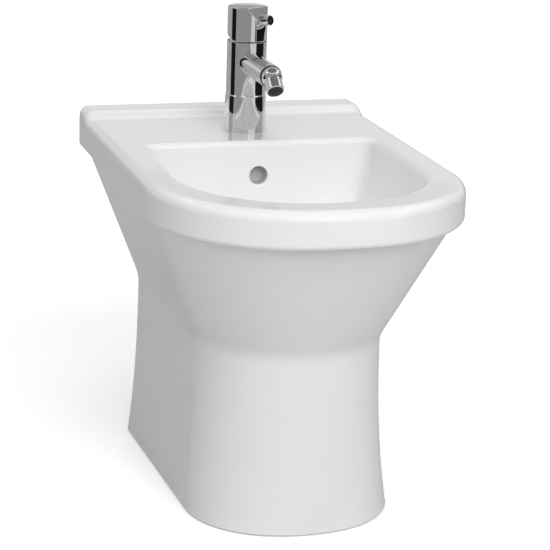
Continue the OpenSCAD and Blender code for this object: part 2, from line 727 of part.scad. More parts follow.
// ---- ball joint nozzle ----------------------------------------------------
socket_r = ball_d / 2 + gap;
swing = 18;          // how far the cup tilts about the ball's neck
cup_len = 10;
seal_near = 4.8;
seal_far = 7;
module spout_ball() {
  color(chrome) at_tap() at_ball(neck_angle) difference() {
    union() {
      sphere(d = ball_d, $fn = round_fn);
      rotate([180, 0, 0]) cylinder(d = ball_neck_d, h = ball_neck_len, $fn = 32);
    }
    translate([0, 0, -ball_neck_len - over]) cylinder(d = 5, h = ball_neck_len + ball_d, $fn = 32);
  }
}
module nozzle_cup() {
  color(chrome) at_tap() at_ball(nozzle_angle) difference() {
    union() {
      sphere(d = cup_d, $fn = round_fn);
      cylinder(d = nozzle_d, h = cup_len - 0.5, $fn = round_fn);
      cylinder(d = nozzle_d - 1, h = cup_len, $fn = round_fn);
    }
    sphere(r = socket_r, $fn = round_fn);
    cylinder(r = socket_r, h = cup_d, $fn = round_fn);
    neck_cone();
  }
}
// The cone that the ball's neck sweeps in the back of the cup
module neck_cone() {
  near = socket_r * sin(swing + asin(ball_neck_d / 2 / socket_r)) + gap;
  far = cup_d / 2 * sin(swing + asin(ball_neck_d / cup_d)) + gap;
  near_z = -sqrt(pow(socket_r, 2) - near * near);
  far_z = -sqrt(pow(cup_d / 2, 2) - far * far);
  slope = (far - near) / (near_z - far_z);
  rotate([180, 0, 0]) translate([0, 0, -near_z - 2])
    cylinder(r1 = near - 2 * slope, r2 = far + 4 * slope, h = near_z - far_z + 6, $fn = round_fn);
}
module ball_seal() {
  color(black_rubber) at_tap() at_ball(nozzle_angle) difference() {
    translate([0, 0, seal_near]) cylinder(r = socket_r - gap / 2, h = seal_far - seal_near, $fn = round_fn);
    sphere(r = socket_r, $fn = round_fn);
    cylinder(d = 8, h = cup_d, $fn = 40);
  }
}
module nozzle_shell() {
  r = nozzle_d / 2 + 0.2;
  color(chrome) at_tap() at_ball(nozzle_angle) difference() {
    union() {
      translate([0, 0, seal_far]) cylinder(r = socket_r - gap / 2, h = 5, $fn = round_fn);
      rotate_extrude($fn = round_fn) polygon([[0, cup_len], [r - 0.6, cup_len], [r, cup_len + 0.6],
        [r, nozzle_len - 0.6], [r - 0.6, nozzle_len], [0, nozzle_len]]);
    }
    cylinder(d = 12, h = nozzle_len, $fn = 40);
    translate([0, 0, cup_len + 1.5]) cylinder(d = nozzle_d - 3.4, h = nozzle_len, $fn = round_fn);
  }
}
hole_pitch = 2.6;
hole_rings = 3;
module aerator_insert() {
  face_z = nozzle_len - 1;
  color(dark_plastic) at_tap() at_ball(nozzle_angle) difference() {
    translate([0, 0, cup_len + 1.5])
      cylinder(d = nozzle_d - 3.4 - 2 * fit_gap, h = face_z - cup_len - 1.5, $fn = round_fn);
    translate([0, 0, cup_len]) cylinder(d = 13, h = face_z - cup_len - 2, $fn = 40);
    cylinder(d = 1.5, h = nozzle_len, $fn = 16);
    for (ring = [1:hole_rings - 1], i = [0:6 * ring - 1]) rotate([0, 0, 60 * i / ring])
      translate([ring * hole_pitch, 0, cup_len]) cylinder(d = 1.5, h = nozzle_len, $fn = 16);
  }
}

// ---- waste ----------------------------------------------------------------
module at_waste() { translate([0, waste_y, floor_z]) children(); }
seal_t = 1.5;
flange_t = 2.5;
bar_z = -7;
bar_t = 4;
hub_d = 11;
spindle_d = 6;
bar_w = 3;
slot_w = 14;         // width of the slots that let the overflow's water in
relief_w = 3;        // width of the groove between the back nut's thread and the tail
module waste_flange() {
  r = flange_d / 2;
  b = waste_bore_d / 2;
  t = waste_thread_d / 2;
  top = seal_t + flange_t;
  slot_z = channel_z - channel_d / 2 - floor_z;
  relief_z = -seat_t - under_t - back_nut_h - relief_w;
  color(chrome) at_waste() difference() {
    union() {
      rotate_extrude($fn = round_fn) polygon([[b, -waste_len], [t, -waste_len], [t, relief_z - relief_w],
        [t - 1, relief_z - relief_w], [t - 1, relief_z], [t, relief_z], [t, seal_t],
        [r - 1, seal_t], [r, seal_t + 0.8], [r - 2, top], [b + dish_w, top], [b, seal_t]]);
      translate([0, 0, bar_z]) cylinder(d = hub_d, h = bar_t, $fn = 40);
      for (a = [0:120:240]) rotate([0, 0, a])
        translate([-bar_w / 2, hub_d / 2 - 1, bar_z]) cube([bar_w, (b + t - hub_d) / 2 + 1, bar_t]);
    }
    for (a = [45, 135]) rotate([0, 0, a])
      translate([-slot_w / 2, -r, slot_z]) cube([slot_w, 2 * r, channel_d]);
    translate([0, 0, bar_z - over]) cylinder(d = spindle_d + 2 * fit_gap, h = bar_t + 2 * over, $fn = 32);
  }
}
module flange_seal() {
  color(black_rubber) at_waste() difference() {
    cylinder(d = flange_d - 2, h = seal_t, $fn = round_fn);
    translate([0, 0, -over]) cylinder(d = waste_thread_d + 2 * gap, h = seal_t + 2 * over, $fn = round_fn);
  }
}
under_t = 5;
back_nut_h = 10;
module under_seal() {
  color(black_rubber) at_waste() translate([0, 0, -seat_t - under_t]) difference() {
    cylinder(d = flange_d - 3, h = under_t, $fn = round_fn);
    translate([0, 0, -over]) cylinder(d = waste_thread_d + 2 * gap, h = under_t + 2 * over, $fn = round_fn);
  }
}
module back_nut() {
  color(brass) at_waste() translate([0, 0, -seat_t - under_t - back_nut_h]) difference() {
    union() {
      cylinder(d = waste_thread_d + 14, h = back_nut_h, $fn = 6);
      translate([0, 0, back_nut_h - 2]) cylinder(d = flange_d - 3, h = 2, $fn = round_fn);
    }
    translate([0, 0, -over])
      cylinder(d = waste_thread_d + 2 * fit_gap, h = back_nut_h + 2 * over, $fn = round_fn);
  }
}
// The plug is drawn raised, so that the water can leave
shut_gap = 0.3;      // what is left between the plug and the flange when it is pressed down
cap_z = seal_t + flange_t + shut_gap + plug_travel;
cap_t = 6;
cap_socket = 2.5;    // how far the stem reaches into the cap
dome_r = 110;
module plug_cap() {
  color(chrome) at_waste() difference() {
    intersection() {
      translate([0, 0, cap_z]) rotate_extrude($fn = round_fn) polygon([[0, 0], [cap_d / 2 - 1, 0],
        [cap_d / 2, 1], [cap_d / 2, 2], [0, 12]]);
      translate([0, 0, cap_z + cap_t - dome_r]) sphere(r = dome_r, $fn = 200);
    }
    translate([0, 0, cap_z - over]) cylinder(d = spindle_d + 2 * fit_gap, h = over + cap_socket, $fn = 32);
  }
}
// The plug's seal is a cone that fits the flange's dish when the plug is down
dish_w = 6;
plug_seal_t = 1.5;
module plug_seal() {
  slope = dish_w / flange_t;
  far = waste_bore_d / 2 + dish_w - 0.4;
  color(black_rubber) at_waste() translate([0, 0, cap_z - plug_seal_t]) difference() {
    cylinder(r1 = far - slope * plug_seal_t, r2 = far, h = plug_seal_t, $fn = round_fn);
    translate([0, 0, -over]) cylinder(d = waste_bore_d - 6, h = plug_seal_t + 2 * over, $fn = round_fn);
  }
}
collar_h = 5;
stem_tip = 4;        // how far the stem reaches below its collar
module plug_stem() {
  low = bar_z - collar_h - stem_tip;
  color(steel) at_waste() union() {
    translate([0, 0, low]) cylinder(d = spindle_d, h = cap_z + cap_socket - low, $fn = 32);
    translate([0, 0, bar_z - collar_h - shut_gap]) cylinder(d = spindle_d + 4, h = collar_h, $fn = 32);
  }
}

ceramic_body();
tap_body();
base_seal();
fixing_stud();
horseshoe_seal();
horseshoe_plate();
fixing_nut();
cartridge();
cartridge_nut();
cover_ring();
turret();
pivot_pin();
stem();
handle_head();
lever_pin();
grub_screw();
indicator_plug();
spout_ball();
nozzle_cup();
ball_seal();
nozzle_shell();
aerator_insert();
waste_flange();
flange_seal();
under_seal();
back_nut();
plug_cap();
plug_seal();
plug_stem();
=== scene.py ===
import math
import bmesh
import bpy
from mathutils import Matrix, Vector


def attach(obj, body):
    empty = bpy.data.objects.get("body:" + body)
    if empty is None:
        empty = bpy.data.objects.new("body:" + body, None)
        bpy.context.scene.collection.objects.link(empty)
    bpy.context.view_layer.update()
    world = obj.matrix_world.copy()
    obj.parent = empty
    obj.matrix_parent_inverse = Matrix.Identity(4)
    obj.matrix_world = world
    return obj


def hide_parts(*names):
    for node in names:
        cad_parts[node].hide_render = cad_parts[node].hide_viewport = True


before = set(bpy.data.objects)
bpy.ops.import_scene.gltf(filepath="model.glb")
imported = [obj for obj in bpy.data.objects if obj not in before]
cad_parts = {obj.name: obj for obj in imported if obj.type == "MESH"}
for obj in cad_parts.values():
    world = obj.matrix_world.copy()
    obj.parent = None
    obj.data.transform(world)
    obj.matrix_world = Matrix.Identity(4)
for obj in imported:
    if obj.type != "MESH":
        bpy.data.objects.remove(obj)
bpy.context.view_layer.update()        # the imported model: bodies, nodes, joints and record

print("frame loaded,", len(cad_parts), "parts")


# the camera stands in front of the bidet, a little to the left and above
cameraView = {
    "place": (-0.6685, -2.2240, 0.9217),
    "right": (0.9594, -0.2802, 0.0311),
    "up": (0.0487, 0.2732, 0.9607),
    "lens": 134.77, "sensor": 36.0, "clip": (0.05, 60),
}


def setCamera(values):
    data = bpy.data.cameras.new("camera")
    data.lens = values["lens"]
    data.sensor_width = values["sensor"]
    data.clip_start, data.clip_end = values["clip"]
    camera = bpy.data.objects.new("camera", data)
    bpy.context.scene.collection.objects.link(camera)
    right = Vector(values["right"]).normalized()
    back = right.cross(Vector(values["up"])).normalized()
    up = back.cross(right)
    turn = Matrix((right, up, back)).transposed().to_4x4()
    camera.matrix_world = Matrix.Translation(values["place"]) @ turn
    bpy.context.scene.camera = camera


setCamera(cameraView)
bpy.context.scene.view_settings.view_transform = "Standard"
print("camera set")


# wraps a socket, so that values can be added, multiplied and so on
class Flow:
    def __init__(self, board, socket):
        self.board, self.socket = board, socket

    def maths(self, operation, a, b):
        return self.board.node("ShaderNodeMath", {"operation": operation}, {0: a, 1: b})

    def __add__(self, other):
        return self.maths("ADD", self, other)

    def __sub__(self, other):
        return self.maths("SUBTRACT", self, other)

    def __mul__(self, other):
        return self.maths("MULTIPLY", self, other)

    def __radd__(self, other):
        return self.maths("ADD", other, self)

    def __rsub__(self, other):
        return self.maths("SUBTRACT", other, self)

    def __rmul__(self, other):
        return self.maths("MULTIPLY", other, self)


class Board:
    def __init__(self, tree):
        self.tree = tree
        tree.nodes.clear()

    # makes a node of a type from its settings, then the values or links of its sockets
    def node(self, kind, settings=None, inputs=None, output=0):
        made = self.tree.nodes.new(kind)
        for key, value in (settings or {}).items():
            setattr(made, key, value)
        for key, value in (inputs or {}).items():
            if isinstance(value, Flow):
                self.tree.links.new(value.socket, made.inputs[key])
            else:
                made.inputs[key].default_value = value
        return Flow(self, made.outputs[output]) if made.outputs else None

    # a cloudy value from 0 to 1 whose clouds are about size metres across
    def cloud(self, size, detail=2.0, stretch=(1, 1, 1)):
        spot = self.node("ShaderNodeTexCoord", output="Object")
        spot = self.node("ShaderNodeMapping", {}, {"Vector": spot, "Scale": stretch}, "Vector")
        return self.node("ShaderNodeTexNoise", {}, {"Vector": spot, "Scale": 1 / size, "Detail": detail})

    def between(self, amount, low, high):
        return self.node("ShaderNodeMapRange", {"interpolation_type": "SMOOTHSTEP"},
                         {"Value": amount, "From Min": low, "From Max": high})

    def tint(self, amount, a, b):
        return self.node("ShaderNodeMix", {"data_type": "RGBA"},
                         {0: amount, 6: (*a, 1), 7: (*b, 1)}, 2)

    def bump(self, amount, depth, strength=1.0):
        return self.node("ShaderNodeBump", {}, {"Height": amount, "Distance": depth, "Strength": strength},
                         "Normal")

    def surface(self, **inputs):
        names = {"colour": "Base Color", "roughness": "Roughness", "metallic": "Metallic",
                 "coat": "Coat Weight", "coatRoughness": "Coat Roughness", "ior": "IOR", "normal": "Normal"}
        shader = self.node("ShaderNodeBsdfPrincipled", {}, {names[k]: v for k, v in inputs.items()})
        self.node("ShaderNodeOutputMaterial", {}, {"Surface": shader})


def newMaterial(name):
    material = bpy.data.materials.new(name)
    material.use_nodes = True
    return material, Board(material.node_tree)


# finishes; sizes are in metres, and dulled is how much the roughness changes over the surface
glazeLook = {
    "white": (0.885, 0.887, 0.885), "shade": (0.865, 0.868, 0.868), "mottle": 0.05,
    "wave": 0.035, "waveDepth": 0.00006, "waveStrength": 0.6,
    "roughness": 0.10, "dulled": 0.05, "coat": 0.5, "coatRoughness": 0.03, "ior": 1.5,
}


def glaze(values):
    material, board = newMaterial("glaze")
    mottle = board.cloud(values["mottle"], 3)
    wave = board.cloud(values["wave"], 1)
    board.surface(
        colour=board.tint(mottle, values["white"], values["shade"]),
        roughness=values["roughness"] + values["dulled"] * mottle,
        normal=board.bump(wave, values["waveDepth"], values["waveStrength"]),
        coat=values["coat"], coatRoughness=values["coatRoughness"], ior=values["ior"])
    return material


# unglazed clay: pale in the body's inside; in the overflow's channel it is painted darker, as painted shade
# for the deep recess
clayGrain = {"speck": 0.0012, "cloudShare": 0.7, "roughness": 0.75, "dulled": 0.15,
             "depth": 0.0002, "strength": 0.5}
bisqueLook = {**clayGrain, "pale": (0.80, 0.78, 0.74), "dark": (0.71, 0.69, 0.65), "cloud": 0.03}
channelShadeLook = {**clayGrain, "pale": (0.64, 0.64, 0.637), "dark": (0.50, 0.50, 0.497), "cloud": 0.006}


def bisque(name, values):
    material, board = newMaterial(name)
    speck = board.cloud(values["speck"], 3)
    cloud = board.cloud(values["cloud"], 2)
    share = values["cloudShare"]
    board.surface(
        colour=board.tint(cloud * share + speck * (1 - share), values["pale"], values["dark"]),
        roughness=values["roughness"] + values["dulled"] * speck,
        normal=board.bump(speck, values["depth"], values["strength"]))
    return material


chromeLook = {
    "colour": (0.80, 0.805, 0.815), "dull": (0.75, 0.755, 0.765), "smudge": 0.018,
    "smudgeRange": (0.45, 0.75), "roughness": 0.035, "dulled": 0.03,
    "wave": 0.012, "waveDepth": 0.000012, "waveStrength": 0.5,
}


def polishedChrome(values):
    material, board = newMaterial("polishedChrome")
    smudge = board.between(board.cloud(values["smudge"], 3), *values["smudgeRange"])
    wave = board.cloud(values["wave"], 1)
    board.surface(
        colour=board.tint(smudge, values["colour"], values["dull"]),
        metallic=1.0,
        roughness=values["roughness"] + values["dulled"] * smudge,
        normal=board.bump(wave, values["waveDepth"], values["waveStrength"]))
    return material


metalGrain = {"groove": 0.0009, "stretch": (0.15, 0.15, 1), "stain": 0.009, "dulled": 0.12,
              "depth": 0.00003, "strength": 0.6}


def turnedMetal(name, bright, dark, roughness, values=metalGrain):
    material, board = newMaterial(name)
    groove = board.cloud(values["groove"], 2, values["stretch"])
    stain = board.cloud(values["stain"], 3)
    board.surface(
        colour=board.tint(stain, bright, dark),
        metallic=1.0,
        roughness=roughness + values["dulled"] * groove,
        normal=board.bump(groove, values["depth"], values["strength"]))
    return material


plasticGrain = {"grain": 0.0008, "cloud": 0.012, "dulled": 0.1, "depth": 0.00004, "strength": 0.4}


def moulded(name, pale, dark, roughness, values=plasticGrain):
    material, board = newMaterial(name)
    grain = board.cloud(values["grain"], 2)
    cloud = board.cloud(values["cloud"], 2)
    board.surface(
        colour=board.tint(cloud, pale, dark),
        roughness=roughness + values["dulled"] * grain,
        normal=board.bump(grain, values["depth"], values["strength"]))
    return material


finish = {
    "china": glaze(glazeLook),
    "bisque": bisque("bisque", bisqueLook),
    # the channel's clay is painted shade: darker than the bisque because the recess gets little light
    "channel": bisque("channelShadedClay", channelShadeLook),
    "chrome": polishedChrome(chromeLook),
    "brass": turnedMetal("turnedBrass", (0.80, 0.62, 0.32), (0.70, 0.52, 0.25), 0.24),
    "steel": turnedMetal("turnedSteel", (0.62, 0.62, 0.63), (0.52, 0.52, 0.53), 0.28),
    "rubber": moulded("blackRubber", (0.022, 0.022, 0.023), (0.032, 0.032, 0.033), 0.62),
    "white_plastic": moulded("whitePlastic", (0.80, 0.80, 0.78), (0.76, 0.76, 0.74), 0.38),
    # dark plastic for the aerator, also used as painted shade in the lever pin's recess
    "dark_plastic": moulded("darkPlasticAndShade", (0.045, 0.046, 0.05), (0.06, 0.062, 0.066), 0.42),
    "red_plastic": moulded("redPlastic", (0.62, 0.05, 0.05), (0.55, 0.04, 0.04), 0.22),
}
print("finishes mixed,", len(finish))


onAxis = 1e-7      # a point this near to the axis lies on it
past = 0.001       # how far a cutter reaches past the surface that it cuts


def newPiece(name, points, faces, materials, slots=None):
    mesh = bpy.data.meshes.new(name)
    mesh.from_pydata(points, [], faces)
    for material in materials:
        mesh.materials.append(material)
    if slots:
        mesh.polygons.foreach_set("material_index", slots)
    shape = bmesh.new()
    shape.from_mesh(mesh)
    bmesh.ops.recalc_face_normals(shape, faces=shape.faces)
    shape.to_mesh(mesh)
    shape.free()
    mesh.update()
    piece = bpy.data.objects.new(name, mesh)
    bpy.context.scene.collection.objects.link(piece)
    return piece


# skins a list of closed rings of equally many points, and closes both ends
def skin(name, rings, materials, ringSlots):
    count = len(rings[0])
    points = [p for ring in rings for p in ring]
    faces, slots = [list(range(count))], [ringSlots[0]]
    for k in range(len(rings) - 1):
        for i in range(count):
            j = (i + 1) % count
            faces.append((k * count + i, (k + 1) * count + i, (k + 1) * count + j, k * count + j))
            slots.append(ringSlots[k])
    last = (len(rings) - 1) * count
    faces.append([last + i for i in range(count - 1, -1, -1)])
    slots.append(ringSlots[-1])
    return newPiece(name, points, faces, materials, slots)


# corners are (radius, height, rounding): the outline of a turned piece with its corners rounded
def rounded(corners, step=math.radians(10)):
    profile = []
    for index, (r, z, rounding) in enumerate(corners):
        here = Vector((r, z))
        if rounding == 0:
            profile.append(here)
            continue
        before = (Vector(corners[index - 1][:2]) - here).normalized()
        after = (Vector(corners[(index + 1) % len(corners)][:2]) - here).normalized()
        half = before.angle(after) / 2
        reach = rounding / math.tan(half)
        centre = here + (before + after).normalized() * (rounding / math.sin(half))
        start, end = here + before * reach - centre, here + after * reach - centre
        turn = start.angle_signed(end)
        steps = max(2, round(abs(turn) / step))
        for k in range(steps + 1):
            profile.append(centre + Matrix.Rotation(-turn * k / steps, 2) @ start)
    return profile


# turns a profile of (radius, height) about Z; points on the axis become one point
# slot is one finish for all of it, or a list with one for each stretch of the profile
def turned(name, profile, materials, count=192, slot=0):
    points, rows, faces, slots = [], [], [], []
    for r, z in profile:
        if r < onAxis:
            rows.append([len(points)] * count)
            points.append((0, 0, z))
        else:
            rows.append(list(range(len(points), len(points) + count)))
            for i in range(count):
                a = 2 * math.pi * i / count
                points.append((r * math.cos(a), r * math.sin(a), z))
    pairs = list(zip(rows, rows[1:]))
    if profile[0][0] > onAxis:
        pairs.append((rows[-1], rows[0]))
    kinds = slot if isinstance(slot, list) else [slot] * len(pairs)
    for (low, high), kind in zip(pairs, kinds):
        for i in range(count):
            j = (i + 1) % count
            corners = [low[i], low[j], high[j], high[i]]
            face = [c for n, c in enumerate(corners) if c != corners[n - 1]]
            if len(face) > 2:
                faces.append(face)
                slots.append(kind)
    return newPiece(name, points, faces, materials, slots)


def place(piece, matrix):
    piece.data.transform(matrix)
    piece.data.update()
    return piece


def prism(name, outline, low, high, materials, slot=0):
    count = len(outline)
    points = [(x, low, z) for x, z in outline] + [(x, high, z) for x, z in outline]
    faces = [list(range(count)), list(range(2 * count - 1, count - 1, -1))]
    faces += [(i, (i + 1) % count, (i + 1) % count + count, i + count) for i in range(count)]
    return newPiece(name, points, faces, materials, [slot] * len(faces))


def block(name, low, high, materials, slot=0):
    outline = [(low[0], low[2]), (high[0], low[2]), (high[0], high[2]), (low[0], high[2])]
    return prism(name, outline, low[1], high[1], materials, slot)


def rod(name, radius, low, high, materials, count=64, slot=0):
    return turned(name, [(0, low), (radius, low), (radius, high), (0, high)], materials, count, slot)


def hoop(name, inner, outer, low, high, materials, count=96, slot=0):
    profile = [(inner, low), (outer, low), (outer, high), (inner, high)]
    return turned(name, profile, materials, count, slot)


def ball(name, radius, materials, count=96, slot=0):
    steps = count // 2
    profile = [(radius * math.sin(math.pi * i / steps), -radius * math.cos(math.pi * i / steps))
               for i in range(steps + 1)]
    profile[0], profile[-1] = (0, -radius), (0, radius)
    return turned(name, profile, materials, count, slot)


def drop(piece):
    used = piece.data
    bpy.data.objects.remove(piece)
    bpy.data.meshes.remove(used)


# several pieces that don't touch become one
def together(pieces):
    shape = bmesh.new()
    for piece in pieces:
        shape.from_mesh(piece.data)
    shape.to_mesh(pieces[0].data)
    shape.free()
    for piece in pieces[1:]:
        drop(piece)
    return pieces[0]


# the piece takes the shape that its modifiers give
def settle(piece):
    shown = piece.evaluated_get(bpy.context.evaluated_depsgraph_get())
    result = bpy.data.meshes.new_from_object(shown)
    piece.modifiers.clear()
    old, piece.data = piece.data, result
    bpy.data.meshes.remove(old)


# cuts other pieces from this one, or joins them; they are used up
def carve(piece, tools, operation="DIFFERENCE"):
    for tool in tools:
        change = piece.modifiers.new("carve", "BOOLEAN")
        change.operation, change.solver, change.object = operation, "EXACT", tool
        settle(piece)
        drop(tool)
    return piece


def soften(piece, width, segments=4, sharpFrom=35):
    edges = piece.modifiers.new("soften", "BEVEL")
    edges.width, edges.segments, edges.limit_method = width, segments, "ANGLE"
    edges.angle_limit, edges.use_clamp_overlap = math.radians(sharpFrom), False
    settle(piece)
    return piece


# shades it smooth apart from sharp edges, and puts it on its body in place of its nodes
def dress(piece, body, nodes, sharpFrom=32):
    piece.data.shade_smooth()
    piece.data.set_sharp_from_angle(angle=math.radians(sharpFrom))
    weigh = piece.modifiers.new("weigh", "WEIGHTED_NORMAL")
    weigh.keep_sharp = True
    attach(piece, body)
    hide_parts(*nodes)
    return piece


# the ceramic body; lines, marks and shares say where its rings run
china = {
    "halfWidth": 0.180, "front": -0.270, "wall": 0.270,
    "ledge": 0.009, "ledgeFlat": 0.032, "cove": 0.028,
    "rim": 0.400, "band": 0.042, "deck": 0.014,
    "rimFrontRadius": 0.363, "rimCornerRadius": 0.158, "rimRearRadius": 0.010,
    "rimEdge": 0.012, "bandEdge": 0.006, "rearShare": 0.3,
    "bowlInset": 0.007, "bowlRearInset": 0.010, "bowlFrontInset": 0.020,
    "bowlFrontRadius": 0.350, "bowlCornerRadius": 0.143,
    "neck": 0.207, "neckBlend": 0.009, "neckHalf": 0.110, "neckRearHalf": 0.117, "neckDepth": 0.366,
    "neckFrontRadius": 0.170, "neckCornerRadius": 0.109,
    "footHalf": 0.1205, "footRearHalf": 0.1285, "footDepth": 0.381,
    "footFrontRadius": 0.160, "footCornerRadius": 0.104, "footFlare": 2.3, "footEdge": 0.003,
    "pedestalRearRadius": 0.008, "pedestalSetback": 0.068, "thick": 0.012,
    "rimSide": 0.040, "rimFront": 0.046, "deckDepth": 0.197, "basinDepth": 0.138,
    "basinFrontRadius": 0.229, "basinCornerRadius": 0.130, "basinRearRadius": 0.017,
    "basinEdge": 0.007, "basinSquare": 2.4, "basinFall": 0.010,
    "seat": 0.036, "seatThick": 0.028, "wasteSetback": 0.300,
    "openingHalf": 0.096, "openingTopHalf": 0.140, "openingBevel": 0.018, "skirt": 0.015,
    "shoulder": 0.005, "pocketInset": 0.003, "pocketStart": 0.006,
    "wasteHole": 0.023, "tapSetback": 0.131, "tapHole": 0.0175,
    "overflowHole": 0.011, "overflowDrop": 0.0415, "overflowLip": 0.002, "lipReach": 0.6, "mouthDeep": 0.03,
    "channel": 0.007, "channelWall": 0.006, "channelSink": 0.003,
    "ribTop": 0.0165, "ribFront": 0.006, "ribInset": 0.0005,
    "lugHigh": 0.014, "lugHalf": 0.022, "lugDeep": 0.050, "lugSetback": 0.045, "lugSink": 0.003,
    "floorHoles": 0.090, "floorHole": 0.0055,
    "nearLines": (0.014, 0.020, 0.026), "pastCove": (0.006, 0.014), "leastGap": 0.0018, "cornerFade": 4,
    "innerLines": (0.0008, 0.008, 0.02), "deckLines": (0.150, 0.130, 0.110, 0.090, 0.075, 0.066),
    "ledgeLines": (0.027, 0.020, 0.012), "outerGap": 0.0008, "bandMarks": (0.06, 0.35, 0.65, 0.94),
    "underShare": 0.3, "bowlShare": 0.035, "underMarks": (0.6, 0.5, 0.4, 0.3, 0.2, 0.1, 0),
}


leastRadius = 0.001      # no corner of a plan gets sharper than this


# a D in plan: straight rear, nearly straight sides, two corner arcs and a flat front arc
class Plan:
    # rear half, front half, front, back, front radius, corner radius, rear radius
    def __init__(self, *values):
        self.values = values

    def inset(self, side, back):
        v = self.values
        return Plan(v[0] - side, v[1] - side, v[2] + side, v[3] - back, v[4] - side, v[5] - side,
                    max(v[6] - side, leastRadius))

    def mixed(self, other, t, rearRadius):
        v = [a * (1 - t) + b * t for a, b in zip(self.values, other.values)]
        return Plan(*v[:6], rearRadius)

    def points(self, marks):
        rear, half, front, back, frontRadius, cornerRadius, rearRadius = self.values
        frontCentre, cornerX, sideY = front + frontRadius, half - cornerRadius, back - rearRadius
        cornerY = frontCentre - math.sqrt((frontRadius - cornerRadius) ** 2 - cornerX ** 2)
        turn = math.atan2(cornerY - frontCentre, cornerX)
        line = [((rear - rearRadius) * i / marks["rear"], back) for i in range(marks["rear"] + 1)]
        for i in range(1, marks["rearCorner"] + 1):
            a = math.pi / 2 * (1 - i / marks["rearCorner"])
            line.append((rear - rearRadius + rearRadius * math.cos(a), sideY + rearRadius * math.sin(a)))
        near = [min(sideY - marks["least"] * (i + 1), y) for i, y in enumerate(marks["near"])]
        far = [near[-1] + (cornerY - near[-1]) * (i + 1) / marks["far"] for i in range(marks["far"])]
        for y in near + far:
            line.append((rear + (half - rear) * (sideY - y) / (sideY - cornerY), y))
        for i in range(1, marks["corner"] + 1):
            a = turn * i / marks["corner"]
            line.append((cornerX + cornerRadius * math.cos(a), cornerY + cornerRadius * math.sin(a)))
        for i in range(1, marks["front"] + 1):
            a = turn + (-math.pi / 2 - turn) * i / marks["front"]
            line.append((frontRadius * math.cos(a), frontCentre + frontRadius * math.sin(a)))
        return line + [(-x, y) for x, y in line[-2:0:-1]]


def mixed(a, b, t):
    return [tuple(p * (1 - t) + q * t for p, q in zip(u, v)) for u, v in zip(a, b)]


def bent(a, b, c, t):
    return mixed(mixed(a, b, t), mixed(b, c, t), t)


def quarter(steps):
    return [math.pi / 2 * i / steps for i in range(steps + 1)]


